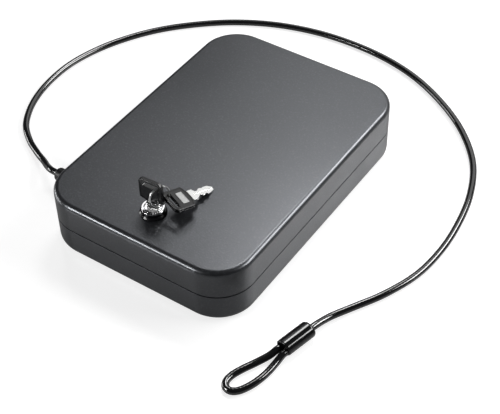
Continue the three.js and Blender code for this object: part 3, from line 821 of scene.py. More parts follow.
def makeLidShell():
    low = Vector((lidLow.x, lidLow.y, lidLow.z + shellForm["seamEase"]))
    lid = makeTray("lidShell", low, lidHigh, lidHigh.z, low.z, shellForm["topEdge"])
    start, end = (lockX, lockY, lidHigh.z - overshoot), (lockX, lockY, lidHigh.z + overshoot)
    cutAway(lid, addRod("lockCut", shellForm["lockHole"], start, end))
    return finishPiece(lid, coatMaterial, "lid", "coat", "lid_shell")


def makeBaseShell():
    high = Vector((baseHigh.x, baseHigh.y, baseHigh.z - shellForm["seamEase"]))
    base = makeTray("baseShell", baseLow, high, baseLow.z, high.z, shellForm["bottomEdge"])
    y, z = middleOf(*nodeBox("cable_sleeve"))[1:]
    start, end = (baseLow.x - overshoot / 2, y, z), (baseLow.x + overshoot / 2, y, z)
    cutAway(base, addRod("cableCut", shellForm["cableHole"], start, end, 32))
    return finishPiece(base, coatMaterial, "base", "coat", "base_shell")


makeLidShell()
makeBaseShell()
print("shells made")


# foam liners

foamForm = {
    "inset": 0.0078,
    "thickness": 0.005,
    "clear": 0.0018,
    "strikeCut": (0.017, -0.1087),
    "lockCut": 0.016,
    "voxel": 0.0016,
    "softening": 6,
    "unevenness": 0.0005,
    "patchSize": 0.022,
}


def makeFoamPad(name, low, cutter, body, node):  # a slab softened at its edges and a little uneven
    inset = foamForm["inset"]
    outline = roundedOutline(baseHigh.x - inset, baseHigh.y - inset, shellForm["cornerRadius"] - inset)
    pad = addPlate(name, outline, low, low + foamForm["thickness"])
    cutAway(pad, cutter)
    applyModifier(pad, "REMESH", mode="VOXEL", voxel_size=foamForm["voxel"])
    applyModifier(pad, "SMOOTH", factor=0.5, iterations=foamForm["softening"])
    patches = bpy.data.textures.new(name + "Patches", "CLOUDS")
    patches.noise_scale = foamForm["patchSize"]
    unevenness = {"texture": patches, "strength": foamForm["unevenness"], "mid_level": 0.5}
    applyModifier(pad, "DISPLACE", texture_coords="GLOBAL", **unevenness)
    finishPiece(pad, foamMaterial, body, "foam", node, smoothAngle=60, weighted=False)


def makeFoamPads():
    halfX, backY = foamForm["strikeCut"]
    strikeCut = addBox("strikeCut", (-halfX, baseLow.y, -overshoot), (halfX, backY, 2 * overshoot))
    makeFoamPad("baseFoam", baseLow.z + foamForm["clear"], strikeCut, "base", "base_foam")
    high = lidHigh.z - foamForm["clear"]
    start, end = (lockX, lockY, high - 2 * overshoot), (lockX, lockY, high + 2 * overshoot)
    lockCut = addRod("lockCut", foamForm["lockCut"], start, end, 64)
    makeFoamPad("lidFoam", high - foamForm["thickness"], lockCut, "lid", "lid_foam")


makeFoamPads()
print("foam liners made")


# anti-pry rims

rimForm = {"thickness": 0.0012, "edge": 0.0003, "cornerSteps": 16}


def makeRim(side, name, node):  # a strip that follows the wall round the front corner
    low, high = nodeBox(node)
    inset = shellForm["wall"] + pieceGap
    halfX, frontY = baseHigh.x - inset, baseLow.y + inset
    radius = shellForm["cornerRadius"] - inset
    thickness, steps = take(rimForm, "thickness", "cornerSteps")
    nearX = min(abs(low.x), abs(high.x))
    centre = (halfX - radius, frontY + radius)
    outer = [(nearX, frontY)] + softCorner(centre, radius, -90, 0, steps) + [(halfX, high.y)]
    inner = [(nearX, frontY + thickness)] + softCorner(centre, radius - thickness, -90, 0, steps)
    inner += [(halfX - thickness, high.y)]
    rim = addPlate(name, [(side * x, y) for x, y in outer + inner[::-1]], low.z, high.z)
    roundEdges(rim, rimForm["edge"])
    return finishPiece(rim, coatMaterial, "base", "coat", node)


makeRim(-1, "rimLeft", "anti_pry_rim_left")
makeRim(1, "rimRight", "anti_pry_rim_right")
print("rims made")


# strike bracket

strikeForm = {
    "thickness": 0.0015,
    "bend": 0.0022,
    "edge": 0.0002,
    "rivet": 0.0024,
    "rivetRise": 0.0011,
    "rivetFoot": 0.0004,
    "rivetPlace": (0.0065, 0.008),  # in from each end, and up from the bottom
}
acrossBox = Matrix(((0, 0, 1, 0), (1, 0, 0, 0), (0, 1, 0, 0), (0, 0, 0, 1)))


def addBar(name, outline, start, end):  # an outline of (y, z), run along X
    bar = addPlate(name, outline, start, end)
    movePiece(bar, acrossBox)
    return bar


def addRivet(name, place, pointing):
    radius, rise, foot = take(strikeForm, "rivet", "rivetRise", "rivetFoot")
    turns = [math.radians(turn) for turn in range(0, 91, 15)]
    dome = [(max(0.0, radius * math.cos(turn)), rise * math.sin(turn)) for turn in turns]
    rivet = addTurned(name, [(0.0, -foot), (radius, -foot)] + dome, 32)
    movePiece(rivet, Matrix.Translation(place) @ aimUp(pointing))
    return rivet


def makeStrike():
    low, high = nodeBox("strike_bracket")
    thick, bend = take(strikeForm, "thickness", "bend")
    centre = (low.y + bend, high.z - bend)
    outline = [(low.y, low.z)] + softCorner(centre, bend, 180, 90, 6)
    outline += [(high.y, high.z), (high.y, high.z - thick)]
    outline += softCorner(centre, bend - thick, 90, 180, 4) + [(low.y + thick, low.z)]
    strike = addBar("strikeBracket", outline, low.x, high.x)
    roundEdges(strike, strikeForm["edge"])
    inward, upward = strikeForm["rivetPlace"]
    first = addRivet("strikeRivet", (low.x + inward, low.y + thick, low.z + upward), (0, 1, 0))
    second = copyPiece(first, "strikeRivetCopy")
    movePiece(second, Matrix.Translation((high.x - low.x - 2 * inward, 0, 0)))
    joinPieces([strike, first, second])
    return finishPiece(strike, steelMaterial, "base", "steel", "strike_bracket")


makeStrike()
print("strike made")


# hinge

hingeForm = {
    "knuckles": 9,
    "knuckleRadius": 0.0025,
    "knuckleGap": 0.0004,
    "clearRadius": 0.0029,
    "pinRadius": 0.001,
    "pinRound": 0.0005,
    "holeRadius": 0.0013,
    "leafThickness": 0.0012,
    "leafCorner": 0.002,
    "edge": 0.00018,
    "lugThickness": 0.0015,
    "lugWidth": 0.008,
    "lugFoot": 0.0014,
    "lugReach": 0.0065,
    "openAngle": 105,
}
knucklePitch = (pinHigh.x - pinLow.x + hingeForm["knuckleGap"]) / hingeForm["knuckles"]
knuckleLength = knucklePitch - hingeForm["knuckleGap"]


def knuckleStart(index):
    return pinLow.x + index * knucklePitch


def addHingeRod(name, radius, startX, endX, sides):
    return addRod(name, radius, (startX, hingeY, hingeZ), (endX, hingeY, hingeZ), sides)


def addKnuckle(side, plateY):  # a rolled knuckle with the web that joins it to its leaf
    radius, hole = take(hingeForm, "knuckleRadius", "holeRadius")
    meets = 180 + math.degrees(math.asin(hole / radius))
    arc = softCorner((hingeY, hingeZ), radius, side * 90, -side * meets, 30)
    outline = [(plateY, hingeZ + side * radius)] + arc + [(plateY, hingeZ + side * hole)]
    start, end = knuckleStart(0), knuckleStart(0) + knuckleLength
    knuckle = addBar("knuckle", outline, start, end)
    cutAway(knuckle, addHingeRod("pinBore", hole, start - shortOvershoot, end + shortOvershoot, 32))
    return knuckle


def addStopLug(index):  # stands on a lid knuckle and meets the base's wall when the lid is fully open
    middle = knuckleStart(index) + knuckleLength / 2
    halfX = hingeForm["lugWidth"] / 2
    low = (-halfX, hingeForm["lugFoot"], pieceGap)
    high = (halfX, hingeForm["lugReach"], pieceGap + hingeForm["lugThickness"])
    lug = addBox("stopLug", low, high)
    roundEdges(lug, hingeForm["edge"] * 2)
    movePiece(lug, Matrix.Translation((middle, hingeY, hingeZ)) @ spinAbout(hingeForm["openAngle"] - 90, "X"))
    return lug


def makeLeaf(side, name, node, body):
    low, high = nodeBox(node)
    count, gap = take(hingeForm, "knuckles", "knuckleGap")
    edgeZ, farZ = (baseHigh.z, low.z) if side < 0 else (lidLow.z, high.z)
    farY = low.y + hingeForm["leafThickness"]
    leaf = addBox(name, (low.x, low.y, min(edgeZ, farZ)), (high.x, farY, max(edgeZ, farZ)))
    farCorners = allOf(liesAt(2, farZ), anyOf(liesAt(0, low.x), liesAt(0, high.x)))
    bevelEdges(leaf, farCorners, hingeForm["leafCorner"], 5)
    roundEdges(leaf, hingeForm["edge"])
    first = 0 if side < 0 else 1
    cutters = []
    for index in range(1 - first, count, 2):
        start, end = knuckleStart(index) - gap, knuckleStart(index) + knuckleLength + gap
        cutters.append(addHingeRod("knuckleCut", hingeForm["clearRadius"], start, end, 40))
    cutAway(leaf, joinPieces(cutters))
    model = addKnuckle(side, low.y + pieceGap)
    pieces = [leaf]
    for index in range(first, count, 2):
        copied = copyPiece(model, "knuckleCopy")
        movePiece(copied, Matrix.Translation((knuckleStart(index) - knuckleStart(0), 0, 0)))
        pieces.append(copied)
    bpy.data.objects.remove(model)
    if side > 0:
        pieces += [addStopLug(index) for index in (1, count - 2)]
    joinPieces(pieces)
    return finishPiece(leaf, coatMaterial, body, "coat", node)


def makePin():
    pin = addHingeRod("hingePin", hingeForm["pinRadius"], pinLow.x, pinHigh.x, 32)
    roundEdges(pin, hingeForm["pinRound"], 4)
    return finishPiece(pin, steelMaterial, "base", "steel", "hinge_pin")


makeLeaf(-1, "hingeLeafBase", "hinge_leaf_base", "base")
makeLeaf(1, "hingeLeafLid", "hinge_leaf_lid", "lid")
makePin()
print("hinge made")


# stop sleeve on the cable's inner end

stopForm = {
    "radius": 0.0045,
    "edge": 0.0005,
    "crimpRadius": 0.0037,
    "crimpWidth": 0.0022,
    "crimpSlope": 0.0004,
    "crimps": (0.3, 0.7),  # shares of its length
    "ropeRadius": 0.0021,
    "ropeGap": 0.0003,
    "ropeRecess": (0.0008, 0.0002),  # the bore's floor and the rope's end, in from the sleeve's end
}


def makeCableStop():
    low, high = nodeBox("cable_stop")
    length = high.x - low.x
    radius, edge, rope = take(stopForm, "radius", "edge", "ropeRadius")
    crimp, half, slope = stopForm["crimpRadius"], stopForm["crimpWidth"] / 2, stopForm["crimpSlope"]
    profile = [(0.0, 0.0), (radius - edge, 0.0), (radius, edge)]
    for share in stopForm["crimps"]:
        start, end = length * share - half, length * share + half
        profile += [(radius, start - slope), (crimp, start), (crimp, end), (radius, end + slope)]
    bore = rope + stopForm["ropeGap"]
    floor, ropeEnd = (length - recess for recess in stopForm["ropeRecess"])
    profile += [(radius, length - edge), (radius - edge, length), (bore, length), (bore, floor)]
    profile += [(rope, floor), (rope, ropeEnd), (0.0, ropeEnd)]
    stop = addTurned("cableStop", profile, 48)
    place = Matrix.Translation((low.x, *middleOf(low, high)[1:]))
    movePiece(stop, place @ spinAbout(90, "Y"))
    return finishPiece(stop, steelMaterial, "base", "steel", "cable_stop")


makeCableStop()
print("cable stop made")


# lock: bezel, housing, washer and nut ride on the lid

lockForm = {
    "turn": 4,
    "headRadius": 0.0085,
    "headHeight": 0.0027,
    "headRound": 0.0005,
    "wallTop": 0.0008,
    "collar": (0.0003, 0.0001, 0.0002),  # in from the head at its ends and its middle, and the slopes' height
    "rimInner": 0.0065,
    "rimEase": 0.0003,
    "seatDepth": 0.0023,
    "bore": 0.0055,
    "barrelRadius": 0.0072,
    "barrelFlat": 0.0063,
    "threadDepth": 0.00045,
    "threadPitch": 0.001,
    "threadTop": 0.0465,
    "bezelRadius": 0.010,
    "bezelRound": 0.0005,
    "bezelWall": 0.0003,
    "bezelEase": 0.0002,
    "bezelShoulder": 0.0091,
    "washerTeeth": 18,
    "washerTooth": (0.12, 0.55, 0.67),  # shares of a tooth's pitch where it has risen, falls and has fallen
    "washerInner": 0.0086,
    "washerEdge": 0.00012,
    "nutFlats": 0.019,
    "nutChamfer": (0.0004, 0.0006),  # out past its corners, and down from its face
    "nutInner": 0.004,
    "nutEdge": 0.00015,
}
lockBore = lockForm["barrelRadius"] + pieceGap
lockPlace = Matrix.Translation((lockX, lockY, 0))
lockTurned = lockPlace @ spinAbout(lockForm["turn"], "Z")


def makeHousing():
    top, bottom = housingHigh.z, housingLow.z
    wallTop, headLow, seat = (top - lockForm[name] for name in ("wallTop", "headHeight", "seatDepth"))
    radius, ease, bore = take(lockForm, "headRadius", "headRound", "bore")
    rim, rimEase = take(lockForm, "rimInner", "rimEase")
    waist, bulge, slope = lockForm["collar"]
    crest, pitch = take(lockForm, "barrelRadius", "threadPitch")
    root = crest - lockForm["threadDepth"]
    profile = [(bore, bottom), (bore, seat), (rim, seat), (rim, top - rimEase), (rim + rimEase, top)]
    profile += softCorner((radius - ease, top - ease), ease, 90, 0, 6)
    profile += [(radius, wallTop), (radius - waist, wallTop - slope), (radius - bulge, headLow + slope)]
    profile += [(radius - waist, headLow), (root, headLow)]
    height = lockForm["threadTop"]
    while height - pitch > bottom:
        profile += [(root, height), (crest, height - pitch / 2)]
        height -= pitch
    profile += [(root, height), (root, bottom)]
    housing = addTurned("lockHousing", profile, 96)
    flats = []
    wide = 2 * overshoot
    for side in (-1, 1):
        near, far = sorted((side * lockForm["barrelFlat"], side * wide))
        flats.append(addBox("barrelFlat", (-wide, near, bottom - overshoot), (wide, far, headLow)))
    cutAway(housing, joinPieces(flats))
    movePiece(housing, lockPlace)
    finishPiece(housing, chromeMaterial, "lid", "chrome", "lock_housing", smoothAngle=40)
    housing.data.materials.append(plasticMaterial)
    for face in housing.data.polygons:  # the dark collar between the bright head and the bezel
        away = (face.center.xy - lockPlace.translation.xy).length
        if headLow < face.center.z < wallTop and away > crest:
            face.material_index = 1
    return housing


def makeBezel():
    low, high = nodeBox("lock_bezel")
    outer, shoulder, ease = take(lockForm, "bezelRadius", "bezelShoulder", "bezelRound")
    foot = lockForm["bezelEase"]
    profile = [(lockBore, low.z), (outer - foot, low.z), (outer, low.z + foot)]
    profile += softCorner((outer - ease, low.z + lockForm["bezelWall"]), ease, 0, 50, 4)
    profile += softCorner((shoulder - ease, high.z - ease), ease, 50, 90, 3) + [(lockBore, high.z)]
    bezel = addTurned("lockBezel", profile, 96)
    movePiece(bezel, lockPlace)
    return finishPiece(bezel, plasticMaterial, "lid", "plastic", "lock_bezel")


def makeStarWasher():
    low, high = nodeBox("lock_washer")
    inner, outer, teeth = lockForm["washerInner"], (high.x - low.x) / 2, lockForm["washerTeeth"]
    risen, falls, fallen = lockForm["washerTooth"]
    outline = []
    for tooth in range(teeth):
        for share, radius in ((0.0, inner), (risen, outer), (falls, outer), (fallen, inner)):
            turn = 2 * math.pi * (tooth + share) / teeth
            outline.append((radius * math.cos(turn), radius * math.sin(turn)))
    washer = addPlate("starWasher", outline, low.z, high.z)
    drill(washer, lockBore, low, high)
    roundEdges(washer, lockForm["washerEdge"])
    movePiece(washer, lockPlace)
    return finishPiece(washer, steelMaterial, "lid", "steel", "lock_washer")


def makeNut():  # hexagon with both ends turned down at the corners
    low, high = nodeBox("lock_nut")
    half, inner = lockForm["nutFlats"] / 2, lockForm["nutInner"]
    out, drop = lockForm["nutChamfer"]
    reach = lockForm["nutFlats"] / math.sqrt(3)
    past = reach + out
    nut = addRod("lockNut", reach, (0, 0, low.z), (0, 0, high.z), 6)
    profile = [(inner, low.z), (half, low.z), (past, low.z + drop)]
    profile += [(past, high.z - drop), (half, high.z), (inner, high.z)]
    combine(nut, addTurned("nutTurning", profile, 96), "INTERSECT")
    drill(nut, lockBore, low, high)
    roundEdges(nut, lockForm["nutEdge"], angle=40)
    movePiece(nut, lockPlace @ spinAbout(30, "Z"))
    return finishPiece(nut, steelMaterial, "lid", "steel", "lock_nut")


makeHousing()
makeBezel()
makeStarWasher()
makeNut()
print("lock housing made")


# lock core: plug, wafers, cam, washer and screw

coreForm = {
    "flangeRadius": 0.0062,
    "flangeDepth": 0.002,
    "bodyRadius": 0.0052,
    "bodyBottom": 0.031,
    "faceRound": 0.00035,
    "keyway": (0.0038, 0.0012),
    "keywayBottom": 0.0368,
    "keywayEase": 0.0003,
    "tail": 0.003,
    "tailRoot": 0.0005,
    "wafers": 5,
    "waferSlot": (0.0028, 0.0014),
    "waferPitch": 0.0026,
    "firstWafer": 0.0498,
    "camWidth": 0.011,
    "camReach": 0.024,
    "edge": 0.0002,
    "screwHead": 0.0044,
    "screwHeadHeight": 0.0022,
    "screwShaft": 0.0017,
    "screwHole": 0.002,
    "screwHoleTop": 0.0334,
    "cross": (0.0026, 0.0005, 0.0011),  # half length, half width and depth of its recess
}


def makePlug():
    low, high = nodeBox("lock_plug")
    flange, body, bottom = take(coreForm, "flangeRadius", "bodyRadius", "bodyBottom")
    ease, tail = take(coreForm, "faceRound", "tail")
    flangeLow = high.z + pieceGap - coreForm["flangeDepth"]
    profile = [(0.0, bottom), (body, bottom), (body, flangeLow), (flange, flangeLow)]
    profile += softCorner((flange - ease, high.z - ease), ease, 0, 90, 4) + [(0.0, high.z)]
    plug = addTurned("lockPlug", profile, 96)
    square = addBox("plugTail", (-tail, -tail, low.z), (tail, tail, bottom + coreForm["tailRoot"]))
    combine(plug, square, "UNION")
    halfX, halfY = coreForm["keyway"]
    keywayLow = (-halfX, -halfY, coreForm["keywayBottom"])
    cutAway(plug, addBox("keywayCut", keywayLow, (halfX, halfY, high.z + overshoot)))
    slotY, slotZ = coreForm["waferSlot"]
    slots = []
    for index in range(coreForm["wafers"]):
        top = coreForm["firstWafer"] + pieceGap - index * coreForm["waferPitch"]
        slots.append(addBox("waferCut", (-overshoot, -slotY, top - slotZ), (overshoot, slotY, top)))
    cutAway(plug, joinPieces(slots))
    start, end = (0, 0, low.z - shortOvershoot), (0, 0, coreForm["screwHoleTop"])
    cutAway(plug, addRod("screwCut", coreForm["screwHole"], start, end, 32))

    def isKeyway(edge):
        places = [vertex.co for vertex in edge.verts]
        inside = all(abs(place.x) < halfX + 1e-5 and abs(place.y) < halfY + 1e-5 for place in places)
        return inside and edge.calc_length() > 1e-4

    bevelEdges(plug, allOf(liesAt(2, high.z, 1e-6), isKeyway), coreForm["keywayEase"], 2)
    movePiece(plug, lockTurned)
    return finishPiece(plug, chromeMaterial, "lock_core", "chrome", "lock_plug", smoothAngle=40)


def makeCam():
    low, high = nodeBox("lock_cam")
    half, reach = coreForm["camWidth"] / 2, coreForm["camReach"]
    outline = softCorner((0, 0), half, 90, 270, 20) + softCorner((reach - half, 0), half, -90, 90, 20)
    cam = addPlate("lockCam", outline, low.z, high.z)
    square = coreForm["tail"] + pieceGap
    cutLow, cutHigh = (-square, -square, low.z - overshoot), (square, square, high.z + overshoot)
    cutAway(cam, addBox("camCut", cutLow, cutHigh))
    roundEdges(cam, coreForm["edge"])
    movePiece(cam, lockTurned)
    return finishPiece(cam, steelMaterial, "lock_core", "steel", "lock_cam")


def makeCamWasher():
    low, high = nodeBox("cam_washer")
    inner, outer, edge = coreForm["screwHole"], (high.x - low.x) / 2, coreForm["edge"]
    profile = [(inner, low.z), (outer - edge, low.z), (outer, low.z + edge), (outer, high.z - edge)]
    profile += [(outer - edge, high.z), (inner, high.z)]
    washer = addTurned("camWasher", profile, 48)
    movePiece(washer, lockTurned)
    return finishPiece(washer, steelMaterial, "lock_core", "steel", "cam_washer")


def makeCamScrew():  # domed head with a cross recess
    low, high = nodeBox("cam_screw")
    head, rise, shaft = take(coreForm, "screwHead", "screwHeadHeight", "screwShaft")
    turns = [math.radians(turn) for turn in range(75, -1, -15)]
    dome = [(head * math.cos(turn), low.z + rise * (1 - math.sin(turn))) for turn in turns]
    profile = [(0.0, low.z)] + dome + [(shaft, low.z + rise), (shaft, high.z), (0.0, high.z)]
    screw = addTurned("camScrew", profile, 48)
    length, width, depth = coreForm["cross"]
    for x, y in ((length, width), (width, length)):
        arm = addBox("crossCut", (-x, -y, low.z - shortOvershoot), (x, y, low.z + depth))
        cutAway(screw, arm)
    movePiece(screw, lockTurned)
    return finishPiece(screw, steelMaterial, "lock_core", "steel", "cam_screw")


makePlug()
makeCam()
makeCamWasher()
makeCamScrew()
for index in range(coreForm["wafers"]):
    wafer = cadNodes[f"lock_wafer_{index + 1}"]
    wafer.data.materials.clear()
    wafer.data.materials.append(brassMaterial)
print("lock core made")


# keys: each is modelled blade down, with its shoulder at height 0

keyForm = {
    "headWidth": 0.019,
    "headLow": 0.0048,
    "headHigh": 0.0246,
    "headThickness": 0.003,
    "outerChamfer": 0.002,
    "innerChamfer": (0.0065, 0.0024),
    "cornerRound": 0.0007,
    "edgeRound": 0.00045,
    "border": 0.0008,
    "recess": 0.00025,
    "slotInset": 0.0024,
    "slotWidth": 0.0036,
    "slotLength": 0.0134,
    "slotRound": 0.0009,
    "slotMargin": 0.0003,
    "slotFrame": 0.0009,
    "slotFrameRound": 0.0014,
    "slotFrameInset": 0.00008,
    "grooveHalf": 0.0004,
    "grooveLip": 0.00005,
    "grooveDepth": 0.00015,
    "panel": (0.0104, 0.0054),
    "panelMiddle": 0.0122,
    "panelRound": 0.0006,
    "panelSeat": 0.0004,
    "panelRise": 0.0002,
    "panelBorder": 0.00035,
    "panelStep": 0.00012,
    "shoulderWidth": 0.0094,
    "seat": 0.0045,
    "bladeWidth": 0.007,
    "bladeThickness": 0.0018,
    "bladeLength": 0.0172,
    "tang": 0.0118,
    "tipWidth": 0.0024,
    "tipTaper": 0.0035,
    "rightCuts": (  # millimetres in from the edge, and below the shoulder
        (0, 0.9), (1.4, 2.8), (1.4, 4), (0, 6), (0, 6.6),
        (1.1, 8.3), (1.1, 9.2), (0.2, 10.4), (0.2, 11.4), (0.9, 13.4),
    ),
    "leftCuts": ((0, 0.8), (1.3, 1.2), (1.3, 3.6), (0, 5.4), (0, 7.4), (0.6, 8.4), (0, 9.6)),
    "bladeEdge": 0.00012,
    "mills": ((1, -0.0012), (-1, 0.0004)),  # the face, and the place across it
    "millDepth": 0.0004,
    "millWidth": 0.0012,
    "millTop": 0.0012,
}
standUp = spinAbout(90, "X")  # a plate's outline of (x, y) becomes (x, z)


def shrunkOutline(outline, distance):  # a convex outline, drawn in by that distance all round
    lines = []
    for start, end in zip(outline, outline[1:] + outline[:1]):
        run = (Vector(end) - Vector(start)).normalized()
        lines.append((Vector(start) + distance * Vector((-run.y, run.x)), run))
    corners = []
    for (first, ahead), (second, after) in zip(lines[-1:] + lines[:-1], lines):
        gap = second - first
        share = (gap.x * after.y - gap.y * after.x) / (ahead.x * after.y - ahead.y * after.x)
        corners.append(tuple(first + ahead * share))
    return corners


def raisedBy(outline, height):
    return [(x, y + height) for x, y in outline]


def addKeyHead():
    half, low, high = keyForm["headWidth"] / 2, keyForm["headLow"], keyForm["headHigh"]
    across, along = keyForm["innerChamfer"]
    outer, thick = keyForm["outerChamfer"], keyForm["headThickness"] / 2
    right = [(half - across, low), (half, low + along), (half, high - outer), (half - outer, high)]
    outline = right + [(-x, y) for x, y in right[::-1]]
    head = addPlate("keyHeadModel", outline, -thick, thick)
    bevelEdges(head, isUpright, keyForm["cornerRound"], 4)
    bevelEdges(head, anyOf(liesAt(2, thick), liesAt(2, -thick)), keyForm["edgeRound"], 3)
    floor, above = thick - keyForm["recess"], thick + shortOvershoot
    recess = shrunkOutline(outline, keyForm["border"] + keyForm["edgeRound"])
    recesses = [addPlate("recessCut", recess, -above, -floor), addPlate("recessCut", recess, floor, above)]
    cutAway(head, joinPieces(recesses))
    slotHigh = high - keyForm["slotInset"]
    cutSlot(head, slotHigh - keyForm["slotWidth"] / 2, thick)
    cutGroove(head, slotHigh - keyForm["slotWidth"], slotHigh)
    movePiece(head, standUp)
    return head


def cutSlot(head, middle, thick):  # the ring's slot, with the raised frame round it
    halfX, halfY, border = keyForm["slotLength"] / 2, keyForm["slotWidth"] / 2, keyForm["slotFrame"]
    outline = roundedOutline(halfX + border, halfY + border, keyForm["slotFrameRound"], 5)
    top = thick - keyForm["slotFrameInset"]
    combine(head, addPlate("slotFrame", raisedBy(outline, middle), -top, top), "UNION")
    opening = roundedOutline(halfX, halfY, keyForm["slotRound"], 5)
    cutAway(head, addPlate("slotCut", raisedBy(opening, middle), -overshoot, overshoot))


def cutGroove(head, slotLow, slotHigh):  # the mould's parting line, all round the edge
    half, margin = take(keyForm, "grooveHalf", "slotMargin")
    slotEnd = keyForm["slotLength"] / 2 + margin

    def isEdgeStrip(face):
        centre = face.calc_center_median()
        inSlot = abs(centre.x) < slotEnd and slotLow - margin < centre.y < slotHigh + margin
        return abs(centre.z) < half - 1e-5 and abs(face.normal.z) < 0.3 and not inSlot

    for side in (-1, 1):
        openMesh(head, "FACE", everything)
        bpy.ops.mesh.bisect(plane_co=(0, 0, side * half), plane_no=(0, 0, 1))
        closeMesh()
    openMesh(head, "FACE", isEdgeStrip)
    bpy.ops.mesh.inset(thickness=keyForm["grooveLip"], depth=-keyForm["grooveDepth"])
    closeMesh()


def addKeyPanel():  # a plain pad, let into the face that the spare key turns up
    halfX, halfY = (size / 2 for size in keyForm["panel"])
    outline = raisedBy(roundedOutline(halfX, halfY, keyForm["panelRound"], 4), keyForm["panelMiddle"])
    face = keyForm["headThickness"] / 2 - keyForm["recess"]
    panel = addPlate("keyPanelModel", outline, -face - keyForm["panelRise"], -face + keyForm["panelSeat"])
    openMesh(panel, "FACE", lambda side: side.normal.z < -0.9)
    bpy.ops.mesh.inset(thickness=keyForm["panelBorder"])
    bpy.ops.mesh.inset(thickness=keyForm["panelStep"], depth=-keyForm["panelStep"])
    closeMesh()
    movePiece(panel, standUp)
    return panel


def addKeyBlade():
    half, shoulder, length = keyForm["bladeWidth"] / 2, keyForm["shoulderWidth"] / 2, keyForm["bladeLength"]
    seat, tang, tip = keyForm["seat"], keyForm["tang"], keyForm["tipWidth"] / 2
    outline = [(-half, 0), (-shoulder, 0), (-shoulder, seat), (-half, seat), (-half, tang)]
    outline += [(half, tang), (half, seat), (shoulder, seat), (shoulder, 0), (half, 0)]
    outline += [(half - depth / 1000, -below / 1000) for depth, below in keyForm["rightCuts"]]
    outline += [(tip, -length), (-tip, -length), (-half, -length + keyForm["tipTaper"])]
    outline += [(-half + depth / 1000, -below / 1000) for depth, below in keyForm["leftCuts"][::-1]]
    thick, millHalf = keyForm["bladeThickness"] / 2, keyForm["millWidth"] / 2
    blade = addPlate("keyBladeModel", outline[::-1], -thick, thick)
    mills = []
    for side, place in keyForm["mills"]:
        near, far = sorted((side * (thick - keyForm["millDepth"]), side * (thick + shortOvershoot)))
        low = (place - millHalf, -length - shortOvershoot, near)
        mills.append(addBox("millCut", low, (place + millHalf, keyForm["millTop"], far)))
    cutAway(blade, joinPieces(mills))
    roundEdges(blade, keyForm["bladeEdge"], angle=40)
    movePiece(blade, standUp)
    return blade


spareKeyPlace = {
    "place": (0.0124, -0.0884, 0.062531),
    "turns": ((-13.5, "Z"), (-16.9, "X"), (11.9, "Y")),
}


def makeKeys():
    head, blade, panel = addKeyHead(), addKeyBlade(), addKeyPanel()
    inLock = lockTurned @ Matrix.Translation((0, 0, housingHigh.z + pieceGap))
    lying = Matrix.Translation(spareKeyPlace["place"])
    for degrees, axis in spareKeyPlace["turns"]:
        lying = lying @ spinAbout(degrees, axis)
    lying = lying @ Matrix.Translation((0, keyForm["headHigh"], 0)) @ standUp
    keys = ((inLock, "key_in_lock", "key", ""), (lying, "spare_key", "spareKey", "spare_"))
    for place, body, prefix, nodePrefix in keys:
        for model, part, material, slotName, replaced in (
            (head, "Head", plasticMaterial, "plastic", [nodePrefix + "key_head"]),
            (blade, "Blade", keySteelMaterial, "steel", [nodePrefix + "key_blade"]),
            (panel, "Panel", panelMaterial, "plastic", []),
        ):
            piece = copyPiece(model, prefix + part)
            movePiece(piece, place)
            finishPiece(piece, material, body, slotName, *replaced)
    for model in (head, blade, panel):
        bpy.data.objects.remove(model)


makeKeys()
print("keys made")


# split ring

ringForm = {
    "place": (0.0057, -0.0894, 0.06637),
    "axis": (0.9355, -0.3386, 0.1011),
    "radius": 0.00805,
    "wire": 0.00039,
    "flatness": 1.3,
    "step": 0.0004,
    "start": 18,
    "crossing": (345, 375),
    "end": 702,
    "every": 3,
}


def makeRing():  # two turns of flattened wire, which step over at one place
    curve = bpy.data.curves.new("splitRing", "CURVE")
    curve.dimensions = "3D"
    curve.bevel_depth = ringForm["wire"]
    curve.bevel_resolution = 3
    curve.use_fill_caps = True
    radius = ringForm["radius"]
    first, last = ringForm["crossing"]
    turns = range(ringForm["start"], ringForm["end"] + 1, ringForm["every"])
    spline = curve.splines.new("POLY")
    spline.points.add(len(turns) - 1)
    for point, turn in zip(spline.points, turns):
        share = min(1.0, max(0.0, (turn - first) / (last - first)))
        height = ringForm["step"] * (2 * (3 * share**2 - 2 * share**3) - 1)
        angle = math.radians(turn)
        point.co = (radius * math.cos(angle), radius * math.sin(angle), height, 1)
    ring = bpy.data.objects.new("splitRing", curve)
    bpy.context.scene.collection.objects.link(ring)
    activate(ring)
    bpy.ops.object.convert(target="MESH")
    ring = bpy.context.active_object
    openMesh(ring, "VERT", everything)
    bpy.ops.mesh.remove_doubles(threshold=1e-6)
    closeMesh()
    for vertex in ring.data.vertices:
        away = vertex.co.xy.length
        vertex.co.xy *= (radius + (away - radius) * ringForm["flatness"]) / away
    movePiece(ring, Matrix.Translation(ringForm["place"]) @ aimUp(ringForm["axis"]))
    return finishPiece(ring, ringMaterial, "ring", "steel", "key_ring", smoothAngle=50, weighted=False)


makeRing()
print("split ring made")


# stage, lights and world

stageForm = {
    "floorSize": 14.0,
    "floorDrop": 0.0001,
    "floorColour": (0.35, 0.35, 0.35),
    "floorGloss": 0.3,
    "floorIndex": 1.9,
    "cameraGlow": 0.74,
    "mirrorGlow": 0.06,
    "worldLevel": 0.03,
    "worldColour": (0.94, 0.97, 1.0),
    "lampAim": (0, 0, 0.03),
    "lampDistance": 1.25,
}
softboxes = {  # azimuth and elevation in degrees, width and height, and brightness of its face
    "rightSoftbox": (42, 38, (1.0, 0.34), 15.5),
    "backSoftbox": (108, 58, (0.3, 0.3), 16.0),
    "backPanel": (94, 36, (1.15, 1.0), 1.05),
    "lockPanel": (136, 46, (0.32, 0.28), 1.2),
    "frontSoftbox": (240, 25, (0.36, 0.22), 29.2),
    "leftSoftbox": (198, 5, (0.7, 0.16), 9.0),
}


